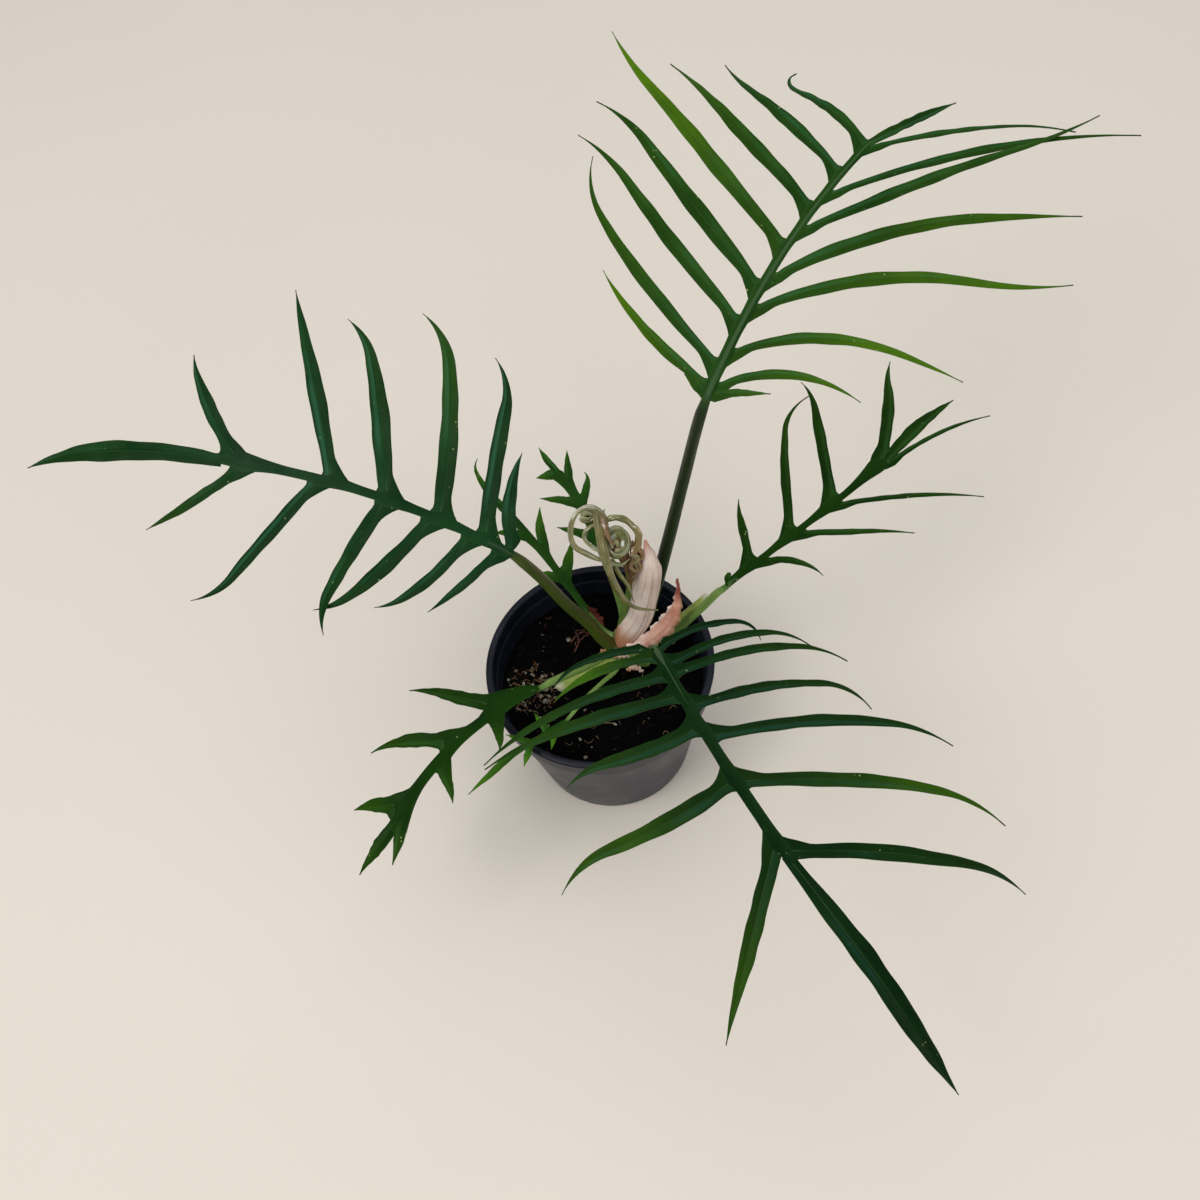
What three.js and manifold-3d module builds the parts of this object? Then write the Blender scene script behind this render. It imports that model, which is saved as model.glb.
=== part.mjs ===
// Potted philodendron tortum: a young plant with deeply cut, comb-like leaves in a round nursery pot.
// Millimetres, Z up, origin at the middle of the pot's underside, viewer on the -Y side.

import * as THREE from 'three';
import { mergeVertices } from 'three/addons/utils/BufferGeometryUtils.js';
import Module from 'manifold-3d';

const wasm = await Module();
wasm.setup();

// Pot
const POT_HEIGHT = 82;
const LIP_RADIUS = 54;
const LIP_WIDTH = 3.6;
const LIP_DEPTH = 2;
const EDGE_ROUND = 0.7;
const BAND_HEIGHT = 11;
const BAND_RADIUS = 52.8;
const STEP_DEPTH = 2.1;
const STEP_SLOPE = 1;
const POT_WALL = 1.6;
const FOOT_RADIUS = 39;
const FOOT_ROUND = 1.2;
const FLOOR_THICKNESS = 1.8;
const POT_SIDES = 48;
const DRAIN_HOLES = 8;
const DRAIN_RADIUS = 3.5;
const DRAIN_CIRCLE = 29;
const DRAIN_SIDES = 12;
const BAND_FOOT = POT_HEIGHT - BAND_HEIGHT;
const WALL_TOP_RADIUS = BAND_RADIUS - STEP_DEPTH;

// Soil: its surface, the clearance to the pot's faceted wall, and rings from the edge to the middle
const GAP = 0.3;
const SOIL_LEVEL = 65;
const SOIL_SHOULDER = 2;
const SOIL_RELIEF = 1.3;
const SOIL_CLEARANCE = 0.4;
const SOIL_SIDES = 28;
const SOIL_RINGS = 6;
const SOIL_FLAT_SHARE = 0.97;
const SOIL_DROP = 0.5;

// The swells of the soil: the broad ones' share of the relief, and how fast each kind runs along X and Y
const BROAD_SHARE = 0.6;
const BROAD_RATE = [0.11, 0.13];
const FINE_RATE_FIRST = [0.43, 0.21];
const FINE_RATE_SECOND = [-0.15, 0.37];

// Stem: a short stub with knuckles, each a height above the soil and a swelling of its radius
const STEM_PLACE = [13, 15];
const STEM_RADIUS = 5.2;
const STEM_TOP = 80;
const STEM_FOOT = 36;
const STEM_FOOT_TAPER = 4;
const STEM_FOOT_NARROWING = 1.5;
const STEM_SIDES = 16;
const STEM_KNUCKLES = [[1, 0.4], [3, -0.4], [7, 0.2], [9, -0.6], [13.5, -1.2]];

// Leaf blades: thickness, fold along a lobe's midrib, and how finely the lines are walked
const BLADE = 0.8;
const FOLD = 0.1;
const LEFT = 1;
const RIGHT = -1;
const RACHIS_STEPS = 40;
const LOBE_STEPS = 24;
const BAR_SIDES = 7;
const SEGMENT_LENGTH = 22;

// Leaves longer than this have lobes folded along a midrib, and the others have flat ones
const FOLDED_ABOVE = 95;

// A lobe's half width along it, as shares of its widest, beyond the neck at its foot
const LONG_LOBE_OUTLINE = [[0.32, 1], [0.64, 0.84], [0.86, 0.42], [1, 0]];
const SHORT_LOBE_OUTLINE = [[0.35, 1], [0.7, 0.72], [1, 0]];
const SHORT_LOBE = 45;
const NECK_DISTANCE = 6;
const NECK_PLACE_LIMIT = 0.18;
const TIP_HALF_WIDTH = 0.35;
const HOOK_START = 0.7;
const DROOP_POWER = 1.5;

// Ears: the short lobes at the very foot of a blade
const EAR_STATION = 2;
const EAR_WIDTH = 2.5;
const EAR_ANGLE = 68;

// The rachis in section: where its flat top ends on the wing and how high it lies over the blade, how
// wide its rib is below and how deep, and how narrow the wing is where it starts
const RACHIS_TOP = 0.5;
const RACHIS_LIFT = 0.7;
const RIB_FOOT = 0.5;
const RIB_DEPTH = 1.5;
const WING_START = 0.7;

const { Vector3 } = THREE;
const { degToRad, lerp } = THREE.MathUtils;
const vec = ([x, y, z]) => new Vector3(x, y, z);
const along = (point, direction, distance) => point.clone().addScaledVector(direction, distance);
const DOWN = new Vector3(0, 0, -1);

// A comb is the lobes along one side of a leaf: the stations on the rachis where they spring, then
// lists that run from the leaf's foot to its head. Each lobe takes its value from a smooth curve
// through them: length, width, the angle at which it leaves the rachis, the sweep by which that angle
// closes along it, and the hook of its last third.
const comb = (stations, { lengths, widths, angles, sweeps = [0], hooks = [0] }) => (
  { stations, lengths, widths, angles, sweeps, hooks }
);
const tip = (length, width, angle, sweep, hook) => ({ length, width, angle, sweep, hook });

// Each leaf: its petiole's points and radii, then the blade's rachis (heading, bend and rise in
// degrees), roll about the rachis, half width of the wing on it, and the comb on each side. Ears are
// lengths, left and right. A shoulder widens the wing on its right between two stations.
const LEAVES = {
  leaf_back_right: {
    colour: 0x2c5a30,
    petiole: [[13, 17, 73], [24, 17, 82], [32, 23, 101], [41, 28, 132], [50, 28, 176], [60, 21, 235]],
    petioleRadius: [3.6, 2.5],
    heading: 54, bend: -13, rise: [20, 0], roll: 3, length: 132,
    wing: [2.8, 2], midrib: [1.7, 0.9], droop: 16, neck: 0.58, flare: 4.5, edge: 2,
    ears: [11, 22],
    left: comb([5, 14, 33, 50, 70, 91, 112, 130], {
      lengths: [70, 118, 121, 125, 150, 108, 85, 60],
      widths: [4.5, 7, 5],
      angles: [74, 65, 63, 62, 63.5, 67, 68, 62],
      sweeps: [25, 18, 10, 6, 4, 5, -5, -35],
      hooks: [0, 30, -20, -20, 10, -5, 20, 110],
    }),
    right: comb([5, 20, 40, 55, 80, 100, 130], {
      lengths: [58, 91, 124, 126, 137, 134, 88],
      widths: [4, 6, 3],
      angles: [44, 47, 42, 33.5, 35, 34, 36],
      sweeps: [-60, -57, -43, -32, 2, -12, -8],
      hooks: [0, 13, 35, 10, 15, 0, -10],
    }),
    tip: tip(47, 5, -20, -8, 0),
  },
  leaf_left: {
    colour: 0x1f4a33,
    petiole: [[11, 16, 75], [4, 15, 79], [-1, 13, 96], [-10, 13, 119], [-18, 14, 142], [-28, 14, 165]],
    petioleRadius: [3.4, 2.5],
    heading: 147, bend: 17, rise: [22, 7], roll: -28, length: 133,
    wing: [3.2, 3.4], midrib: [1.6, 0.8], droop: 16, neck: 0.82, flare: 4.6, edge: 2,
    left: comb([5, 19, 37, 58, 88, 120], {
      lengths: [40, 52, 65, 64, 76, 50],
      widths: [4, 6.5, 4.5],
      angles: [73, 78, 72, 75.5, 62, 46],
      sweeps: [10, 27, 18, -5, 0, 12],
      hooks: [0, 20, 25, -40, 40, 0],
    }),
    right: comb([0, 13, 34, 58, 82, 123], {
      lengths: [42, 78, 91, 80, 84, 50],
      widths: [6, 8, 6],
      angles: [50, 72, 78.5, 69, 66, 50],
      sweeps: [-35, -3, 22, 12, 7, -12],
      hooks: [0, 45, 40, 35, -3, -10],
    }),
    tip: tip(85, 8.5, -5, -25, -5),
  },
  leaf_front: {
    colour: 0x1c4a2c,
    petiole: [[15, 12, 69.5], [19, 3, 73.5], [20.5, -6, 86], [21, -18, 109], [22, -37, 147], [23, -58, 190]],
    petioleRadius: [3.1, 2.4],
    heading: -78, bend: 17, rise: [16, -32], roll: -8, length: 99,
    wing: [2.4, 3], midrib: [1.5, 0.8], droop: 18, neck: 0.8, flare: 4, edge: 2,
    left: comb([0, 10, 15, 31, 45, 65, 95], {
      lengths: [48, 61, 71, 73, 96, 109, 112],
      widths: [4, 4.5, 6],
      angles: [115, 108, 97, 87, 76.5, 64, 55],
      sweeps: [45, 25, 15],
      hooks: [85, 35, 25, 50, 20, 24, 20],
    }),
    right: comb([0, 5, 15, 25, 40, 63, 90], {
      lengths: [42, 43, 76, 76, 53, 74, 71],
      widths: [4.5, 5.5, 7],
      angles: [112, 106, 99, 99, 88, 86, 55],
      sweeps: [40, 35, 23, 5, -24, -20, 8],
      hooks: [25, 6, 5, 10, 43, 50, 5],
    }),
    tip: tip(115, 9.5, 3, 0, -5),
  },
  leaf_right: {
    colour: 0x2a5c33,
    petiole: [[16, 16.5, 70.5], [27, 14, 70.5], [37, 12, 74], [44, 12, 84], [52, 9, 100], [62, 3, 125]],
    petioleRadius: [2.6, 1.8],
    sheath: { start: 0.28, end: 0.78, halfWidth: 3.4, sink: 1.3 },
    heading: 15, bend: 13, rise: [27, 8], roll: -5, length: 89,
    wing: [2.6, 2.8], midrib: [1.2, 0.7], droop: 14, neck: 0.9, flare: 4.5, edge: 2,
    ears: [6, 0],
    left: comb([15, 37, 60, 87], {
      lengths: [35, 77, 72, 60],
      widths: [4, 5.5],
      angles: [74, 63, 62, 34],
      sweeps: [0, 8, 0, -25],
      hooks: [10, 55, -25, 20],
    }),
    right: comb([20, 40, 60, 88], {
      lengths: [29, 49, 62, 52],
      widths: [3, 2.5],
      angles: [30, 41.5, 33.5, 2],
      sweeps: [-42, 5, -8, -20],
      hooks: [-10, 0],
    }),
    tip: tip(45, 6, 13, 15, -5),
  },
  leaf_front_left: {
    colour: 0x235029,
    petiole: [[10.5, 15, 69.3], [3.5, 9.5, 71.3], [-5, 2, 78], [-15, -6, 87], [-29, -17, 100]],
    petioleRadius: [2.4, 1.7],
    sheath: { start: 0.2, end: 0.84, halfWidth: 4.4, sink: 1.3 },
    heading: -160, bend: 31, rise: [8, -14], roll: 5, length: 90,
    wing: [3.6, 3.4], midrib: [1.1, 0.7], droop: 12, neck: 1.25, flare: 6.5, edge: 2,
    shoulder: { start: 1, end: 30, reach: 3.4 },
    left: comb([25, 57, 85], {
      lengths: [17, 21],
      widths: [5],
      angles: [76, 72, 28],
      sweeps: [20],
      hooks: [20, 0],
    }),
    right: comb([21, 47, 82], {
      lengths: [44, 39, 23],
      widths: [7, 6.5],
      angles: [56, 64, 75],
      sweeps: [0, 35, 30],
      hooks: [10, 0],
    }),
    tip: tip(26, 6.5, -5, 12, -10),
  },
  leaf_back_left_small: {
    colour: 0x2a6436,
    petiole: [[12, 18, 68], [6, 22, 69], [2, 24, 76], [-1, 23, 90]],
    petioleRadius: [1.8, 1.4],
    heading: 123, bend: 4, rise: [45, 24], roll: -8, length: 67,
    wing: [2.2, 2.6], midrib: [1, 0.6], droop: 10, neck: 1.2, flare: 5, edge: 1.5,
    left: comb([23, 48], { lengths: [11, 14], widths: [4], angles: [45, 35], sweeps: [0, -20] }),
    right: comb([22, 38], { lengths: [17, 19], widths: [4.5], angles: [58, 30], sweeps: [10, -15] }),
    tip: tip(25, 3, 2, 30, 45),
  },
  leaf_back_small: {
    colour: 0x2c6238,
    petiole: [[14, 18, 69], [15, 27, 74], [14, 36, 84], [10, 50, 98]],
    petioleRadius: [1.7, 1.3],
    heading: 96, bend: 24, rise: [26, 8], roll: 0, length: 47,
    wing: [1.8, 2.2], midrib: [0.9, 0.6], droop: 10, neck: 1.15, flare: 4, edge: 1.5,
    left: comb([9, 28, 45], { lengths: [17, 17, 9.5], widths: [4], angles: [58, 57, 62], sweeps: [5] }),
    right: comb([10, 27, 39], {
      lengths: [12, 16, 17],
      widths: [3.5],
      angles: [40, 55, 33],
      sweeps: [0, 30, 0],
      hooks: [0, 40, 0],
    }),
    tip: tip(16, 3.5, 0, 15, 0),
  },
  leaf_low_small: {
    colour: 0x3c7032,
    petiole: [[11.5, 11, 67.6], [7.5, 2, 68.5], [-0.5, -6.5, 73.5], [-10, -18, 82], [-20, -30, 88]],
    petioleRadius: [1.3, 0.9],
    heading: -153, bend: -3, rise: [4, 0], roll: 0, length: 28,
    wing: [1.4, 1.6], midrib: [0.8, 0.5], droop: 8, neck: 1.1, flare: 3, edge: 1,
    left: comb([1, 6, 20], { lengths: [5, 10, 10], widths: [2, 3], angles: [70, 44, 42] }),
    right: comb([10, 20], { lengths: [11], widths: [2.5], angles: [95, 60] }),
    tip: tip(27, 3.5, 9, 0, 0),
  },
};

// The newest leaf is still rolled: a soft petiole, a thick core at its head and loose ribbons. A ribbon runs
// through its start points, round a loop if it has one, and through its end points. A loop is part of
// an ellipse in a plane that leans back by LOOP_LEAN degrees, sinking by its fall from end to end.
const LOOP_LEAN = 31;
const LOOP_STEP = 40;
const RIBBON_THICKNESS = 0.9;
const RIBBON_SEGMENT = 6;
const RIBBON_END_HALF_WIDTH = 0.4;
const RIBBON_CROWN = 0.25;
const RIBBON_SWELL_START = 0.2;
const RIBBON_SWELL_SPAN = 0.78;
const LOOP_SIDE = new Vector3(1, 0, 0);
const LOOP_SLOPE = new Vector3(0, Math.cos(degToRad(LOOP_LEAN)), Math.sin(degToRad(LOOP_LEAN)));
const LOOP_FACE = LOOP_SIDE.clone().cross(LOOP_SLOPE);
const NEW_LEAF = {
  colour: 0x9a9a6a,
  petiole: [[12.5, 15.5, 80.6], [15.5, 17.5, 92], [20, 20, 107], [21, 21, 122], [18, 20.5, 148]],
  petioleRadius: [1.8, 1.4],
  core: { points: [[17.2, 23, 145.6], [18.7, 17.6, 150.6]], radius: [3.4, 3.1] },
  ribbons: [
    {
      width: 3.4,
      start: [[18.2, 19.8, 148.6]],
      loop: { centre: [18, 20.5, 148], across: 6, along: 6, from: -60, to: 240, fall: 3 },
      end: [[17.8, 21, 147.6]],
    },
    {
      width: 2.8,
      start: [[18.4, 18.4, 150], [14, 21, 159]],
      loop: { centre: [7, 24, 155.5], across: 8, along: 11, from: 60, to: 290, fall: 10 },
      end: [[16, 20, 148.4]],
    },
    {
      width: 3.4,
      start: [[14, 22, 160], [11, 18, 161], [12, 12, 150], [13, 8, 134], [18, 5, 121], [32, 0, 116]],
    },
    {
      width: 2.8,
      start: [[17.8, 19.5, 149.5]],
      loop: { centre: [21, 24, 151], across: 7, along: 7, from: 150, to: -50, fall: 11 },
      end: [[18.8, 20.8, 147.6]],
    },
    {
      width: 2.4,
      start: [[18.2, 20.5, 148.5]],
      loop: { centre: [9.5, 21.5, 150.5], across: 5.5, along: 5, from: 70, to: 290, fall: 9 },
      end: [[17, 21, 147]],
    },
    {
      width: 2.2,
      start: [[17.6, 21.4, 148.8], [16, 16, 140], [18, 13, 130], [20, 9, 119]],
    },
    {
      width: 2,
      start: [[20, 21, 140]],
      loop: { centre: [23.5, 21, 134.5], across: 5.5, along: 4, from: 80, to: -60, fall: 9 },
      end: [[21, 21, 128]],
    },
  ],
};

// Papery sheaths and a withered bract: the route of the middle line and how many rows it is cut into,
// half widths along it, the direction that the outer face looks, and half the arc of its section
const PAPERY = {
  cataphyll_standing: {
    colour: 0xcdb3a4,
    route: [[12, 8.8, 78.5], [22, 10, 94], [27, 12, 115], [30, 13.5, 134], [30, 19, 148]],
    rows: 8, halfWidths: [4.6, 5.4, 5.8, 4.8, 0.5], outward: [-0.1, -0.9, 0.42], arc: 62,
  },
  cataphyll_curled: {
    colour: 0xc79a88,
    route: [[19.5, 6, 80.5], [30, 6, 88], [39, 8.5, 100], [42, 15, 118]],
    rows: 6, halfWidths: [2.6, 3.6, 3.3, 0.5], outward: [-0.25, -0.6, 0.75], arc: 38,
  },
  dried_bract: {
    colour: 0x6b3226,
    route: [[4.5, 28, 65.4], [1.5, 32.5, 69], [-1, 36, 74.4]],
    rows: 3, halfWidths: [2, 3.4, 0.6], outward: [0.2, -0.5, 0.84], arc: 40,
  },
};

// A leaf's own sheath: rows along the petiole, how it narrows, and half the arc of its section
const SHEATH_ROWS = 6;
const SHEATH_NARROWING = 0.25;
const SHEATH_END = 0.45;
const SHEATH_ARC = 70;

// Coarse lumps in the soil: their smallest share of the size, how far it varies, their flattened shape
// and how far they rise, then each patch: its middle, how many lie in it, its radius and the lump size
const LUMP_LEAST = 0.7;
const LUMP_VARIATION = 0.5;
const LUMP_SHAPE = [1, 0.85, 0.8];
const LUMP_RISE = 0.2;
const LUMP_SEED = 7;
const SOIL_PATCHES = [
  { middle: [-32, -4], count: 7, radius: 12, size: 1.7 },
  { middle: [24, -26], count: 4, radius: 14, size: 1.5 },
  { middle: [-10, 34], count: 3, radius: 10, size: 1.6 },
  { middle: [34, 20], count: 2, radius: 7, size: 1.4 },
];

// Colour and roughness of what isn't listed above, and roughness of the leaves and sheaths
const POT_FINISH = [0x2a2b30, 0.45];
const SOIL_FINISH = [0x16110e, 1];
const STEM_FINISH = [0x7c8450, 0.6];
const LEAF_ROUGHNESS = 0.4;
const NEW_LEAF_ROUGHNESS = 0.35;
const PAPERY_ROUGHNESS = 0.8;

// The steps of the seeded random draw
const DRAW_FACTOR = 1664525;
const DRAW_STEP = 1013904223;
const DRAW_RANGE = 2 ** 32;

function seededRandom(seed) {
  let state = seed;
  return () => {
    state = (state * DRAW_FACTOR + DRAW_STEP) % DRAW_RANGE;
    return state / DRAW_RANGE;
  };
}

function solidFromTriangles(vertices, triangles) {
  return new wasm.Manifold(new wasm.Mesh({
    numProp: 3,
    vertProperties: Float32Array.from(vertices),
    triVerts: Uint32Array.from(triangles),
  }));
}

function solidFromGeometry(geometry) {
  const bare = geometry.clone();
  bare.deleteAttribute('normal');
  bare.deleteAttribute('uv');
  const merged = mergeVertices(bare, 1e-4);
  const index = merged.index.array;
  const triangles = [];
  for (let i = 0; i < index.length; i += 3) {
    const [a, b, c] = [index[i], index[i + 1], index[i + 2]];
    if (a !== b && b !== c && c !== a) triangles.push(a, b, c);
  }
  return solidFromTriangles(merged.attributes.position.array, triangles);
}

// Joins solids that all touch, and leaves out any sliver that falls loose where faces nearly meet
function fuse(solids) {
  const whole = solids.reduce((joined, piece) => joined.add(piece));
  return whole.decompose().reduce((largest, piece) => (piece.volume() > largest.volume() ? piece : largest));
}

function meshFromSolid(name, solid, colour, roughness) {
  const { vertProperties, triVerts, numProp } = solid.getMesh();
  const positions = [];
  for (let i = 0; i < vertProperties.length; i += numProp) {
    positions.push(vertProperties[i], vertProperties[i + 1], vertProperties[i + 2]);
  }
  const geometry = new THREE.BufferGeometry();
  geometry.setAttribute('position', new THREE.Float32BufferAttribute(positions, 3));
  geometry.setIndex(Array.from(triVerts));
  geometry.computeVertexNormals();
  const material = new THREE.MeshStandardMaterial({ color: colour, roughness, metalness: 0 });
  const mesh = new THREE.Mesh(geometry, material);
  mesh.name = name;
  return mesh;
}

// A solid turned about the Z axis from a closed (radius, height) profile
function turned(profile, sides) {
  const points = profile.map(([radius, height]) => new THREE.Vector2(radius, height));
  return new THREE.LatheGeometry(points, sides).rotateX(Math.PI / 2);
}

// A thin closed sheet about rows of points, with the same triangles on both faces
function sheet(rows, normals, thickness) {
  const columns = rows[0].length;
  const count = rows.length * columns;
  const vertices = [];
  for (const side of [0.5, -0.5]) {
    rows.forEach((row, r) => row.forEach((point, c) => {
      vertices.push(...along(point, normals[r][c], side * thickness).toArray());
    }));
  }
  const top = (r, c) => r * columns + c;
  const triangles = [];
  const face = (a, b, c) => {
    triangles.push(a, b, c);
    triangles.push(a + count, c + count, b + count);
  };
  const wall = (p, q) => triangles.push(q, p, p + count, q, p + count, q + count);
  const lastRow = rows.length - 1;
  const lastColumn = columns - 1;
  for (let r = 0; r < lastRow; r += 1) {
    for (let c = 0; c < lastColumn; c += 1) {
      face(top(r, c), top(r + 1, c), top(r + 1, c + 1));
      face(top(r, c), top(r + 1, c + 1), top(r, c + 1));
    }
    wall(top(r, 0), top(r + 1, 0));
    wall(top(r + 1, lastColumn), top(r, lastColumn));
  }
  for (let c = 0; c < lastColumn; c += 1) {
    wall(top(lastRow, c), top(lastRow, c + 1));
    wall(top(0, c + 1), top(0, c));
  }
  return solidFromTriangles(vertices, triangles);
}

// A closed solid through rings of points, each ring turning the same way about the direction of travel
function skin(rings) {
  const sides = rings[0].length;
  const triangles = [];
  for (let i = 0; i < rings.length - 1; i += 1) {
    for (let k = 0; k < sides; k += 1) {
      const a = i * sides + k;
      const b = i * sides + ((k + 1) % sides);
      triangles.push(a, b, b + sides, a, b + sides, a + sides);
    }
  }
  const last = (rings.length - 1) * sides;
  for (let k = 1; k < sides - 1; k += 1) {
    triangles.push(0, k + 1, k, last, last + k, last + k + 1);
  }
  return solidFromTriangles(rings.flat().flatMap((point) => point.toArray()), triangles);
}

// A round bar along points, its radius running from the first value to the second
function bar(points, [firstRadius, lastRadius], steps, sides) {
  const curve = new THREE.CatmullRomCurve3(points, false, 'centripetal');
  const { normals, binormals } = curve.computeFrenetFrames(steps, false);
  const rings = [];
  for (let i = 0; i <= steps; i += 1) {
    const centre = curve.getPointAt(i / steps);
    const radius = lerp(firstRadius, lastRadius, i / steps);
    const ring = [];
    for (let k = 0; k < sides; k += 1) {
      const turn = (2 * Math.PI * k) / sides;
      const inward = along(centre, normals[i], radius * Math.cos(turn));
      ring.push(along(inward, binormals[i], radius * Math.sin(turn)));
    }
    rings.push(ring);
  }
  return skin(rings);
}

// Direction and side vectors of a leaf's rachis at a fraction of its length
function rachisFrame(leaf, fraction) {
  const heading = degToRad(leaf.heading + leaf.bend * fraction);
  const rise = degToRad(lerp(leaf.rise[0], leaf.rise[1], fraction));
  const roll = degToRad(leaf.roll);
  const forward = new Vector3(
    Math.cos(rise) * Math.cos(heading),
    Math.cos(rise) * Math.sin(heading),
    Math.sin(rise),
  );
  const level = new Vector3(-Math.sin(heading), Math.cos(heading), 0);
  const upright = forward.clone().cross(level);
  const left = along(level.clone().multiplyScalar(Math.cos(roll)), upright, Math.sin(roll));
  const up = along(upright.clone().multiplyScalar(Math.cos(roll)), level, -Math.sin(roll));
  return { forward, left, up };
}

function rachisPoints(leaf) {
  const points = [vec(leaf.petiole.at(-1))];
  for (let i = 0; i < RACHIS_STEPS; i += 1) {
    const { forward } = rachisFrame(leaf, (i + 0.5) / RACHIS_STEPS);
    points.push(along(points[i], forward, leaf.length / RACHIS_STEPS));
  }
  return points;
}

function rachisAt(leaf, points, station) {
  const place = THREE.MathUtils.clamp(station / leaf.length, 0, 1) * RACHIS_STEPS;
  const i = Math.min(Math.floor(place), RACHIS_STEPS - 1);
  return points[i].clone().lerp(points[i + 1], place - i);
}

// A smooth run through values given at even places from the first to the last
function through(values, place) {
  const points = values.map((value, i) => new THREE.Vector2(i, value));
  return new THREE.SplineCurve(points).getPoint(place).y;
}

// The lobes of a comb, one after another from the leaf's foot
function lobesOf({ stations, lengths, widths, angles, sweeps, hooks }) {
  return stations.map((station, i) => {
    const place = i / (stations.length - 1);
    return {
      station,
      length: through(lengths, place),
      width: through(widths, place),
      angle: through(angles, place),
      sweep: through(sweeps, place),
      hook: through(hooks, place),
    };
  });
}

// The middle line of a lobe, with its direction at each step
function lobeLine(leaf, item, start, { forward, left, up }, side) {
  const line = [start];
  const directions = [];
  for (let i = 0; i < LOBE_STEPS; i += 1) {
    const place = (i + 0.5) / LOBE_STEPS;
    const hooked = item.hook * Math.max(0, (place - HOOK_START) / (1 - HOOK_START));
    const turn = degToRad(item.angle - item.sweep * place - hooked);
    const fall = degToRad(-leaf.droop * place ** DROOP_POWER);
    const flat = along(forward.clone().multiplyScalar(Math.cos(turn)), left, side * Math.sin(turn));
    const direction = along(flat.multiplyScalar(Math.cos(fall)), up, Math.sin(fall));
    directions.push(direction);
    line.push(along(line[i], direction, item.length / LOBE_STEPS));
  }
  return { line, directions };
}

// A lobe: a strap sprung from the rachis, flared at its foot, folded along its midrib and pointed
function lobeSolid(leaf, points, item, side, edge) {
  const frame = rachisFrame(leaf, item.station / leaf.length);
  const axis = rachisAt(leaf, points, item.station);
  const { line, directions } = lobeLine(leaf, item, along(axis, frame.left, side * edge), frame, side);
  const half = item.width / 2;
  const places = leaf.length > FOLDED_ABOVE ? [-1, 0, 1] : [-1, 1];
  const rows = [];
  const normals = [];
  const addRow = (point, direction, halfWidth, lift, crosswise) => {
    const normal = along(frame.up, direction, -frame.up.dot(direction)).normalize();
    const across = crosswise ?? normal.clone().cross(direction).normalize();
    const spot = (place) => along(along(point, across, place * halfWidth), normal, Math.abs(place) * lift);
    rows.push(places.map(spot));
    normals.push(places.map(() => normal));
  };
  if (edge > 0) {
    const backward = frame.forward.clone().multiplyScalar(-side);
    const flare = Math.min(leaf.flare, item.length / 3);
    addRow(along(axis, frame.left, side * edge * 0.5), directions[0], flare, 0, backward);
  } else {
    addRow(axis, directions[0], half * leaf.neck, 0);
  }
  const neck = [Math.min(NECK_DISTANCE / item.length, NECK_PLACE_LIMIT), leaf.neck];
  const outline = item.length < SHORT_LOBE ? SHORT_LOBE_OUTLINE : LONG_LOBE_OUTLINE;
  for (const [place, share] of [neck, ...outline]) {
    const i = Math.max(Math.round(place * LOBE_STEPS), 1);
    const direction = directions[Math.min(i, LOBE_STEPS - 1)];
    addRow(line[i], direction, Math.max(half * share, TIP_HALF_WIDTH), FOLD * half * share);
  }
  return sheet(rows, normals, BLADE);
}

// How far a shoulder widens the wing at a station: a smooth swelling between its two ends
function shoulderReach({ shoulder }, station) {
  if (!shoulder || station <= shoulder.start || station >= shoulder.end) return 0;
  return shoulder.reach * Math.sin((Math.PI * (station - shoulder.start)) / (shoulder.end - shoulder.start));
}

// The rachis: a rounded rib below, flat above, drawn out sideways into a narrow wing
function rachisSolid(leaf, points) {
  const segments = Math.max(3, Math.round(leaf.length / SEGMENT_LENGTH));
  const sections = [];
  for (let i = 0; i <= segments; i += 1) {
    const fraction = i / segments;
    const { left, up } = rachisFrame(leaf, fraction);
    const centre = rachisAt(leaf, points, fraction * leaf.length);
    const wing = lerp(leaf.wing[0], leaf.wing[1], fraction) * (i === 0 ? WING_START : 1);
    const rib = lerp(leaf.midrib[0], leaf.midrib[1], fraction);
    const top = RACHIS_LIFT * BLADE;
    const right = wing + shoulderReach(leaf, fraction * leaf.length);
    const outline = [
      [wing, 0], [RACHIS_TOP * wing, top], [-RACHIS_TOP * wing, top],
      [-right, 0], [-RIB_FOOT * rib, -RIB_DEPTH * rib], [RIB_FOOT * rib, -RIB_DEPTH * rib],
    ];
    sections.push(outline.map(([aside, above]) => along(along(centre, left, aside), up, above)));
  }
  return skin(sections);
}

// A rounded trough or sheath along middle points, bulging towards the outward direction
function troughSolid(middle, halfWidths, outward, arc, thickness) {
  const rows = [];
  const normals = [];
  const spread = degToRad(arc);
  middle.forEach((point, i) => {
    const before = middle[Math.max(i - 1, 0)];
    const after = middle[Math.min(i + 1, middle.length - 1)];
    const direction = after.clone().sub(before).normalize();
    const normal = along(outward, direction, -outward.dot(direction)).normalize();
    const across = normal.clone().cross(direction).normalize();
    const radius = halfWidths[i] / Math.sin(spread);
    const row = [];
    const rowNormals = [];
    for (const place of [-1, -0.5, 0, 0.5, 1]) {
      const turn = spread * place;
      const side = along(point, across, radius * Math.sin(turn));
      row.push(along(side, normal, radius * (Math.cos(turn) - 1)));
      rowNormals.push(along(across.clone().multiplyScalar(Math.sin(turn)), normal, Math.cos(turn)));
    }
    rows.push(row);
    normals.push(rowNormals);
  });
  return sheet(rows, normals, thickness);
}

function paperySolid({ route, rows, halfWidths, outward, arc }) {
  const curve = new THREE.CatmullRomCurve3(route.map(vec), false, 'centripetal');
  const middle = curve.getSpacedPoints(rows);
  const widths = middle.map((point, i) => through(halfWidths, i / rows));
  return troughSolid(middle, widths, vec(outward), arc, BLADE);
}

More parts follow.
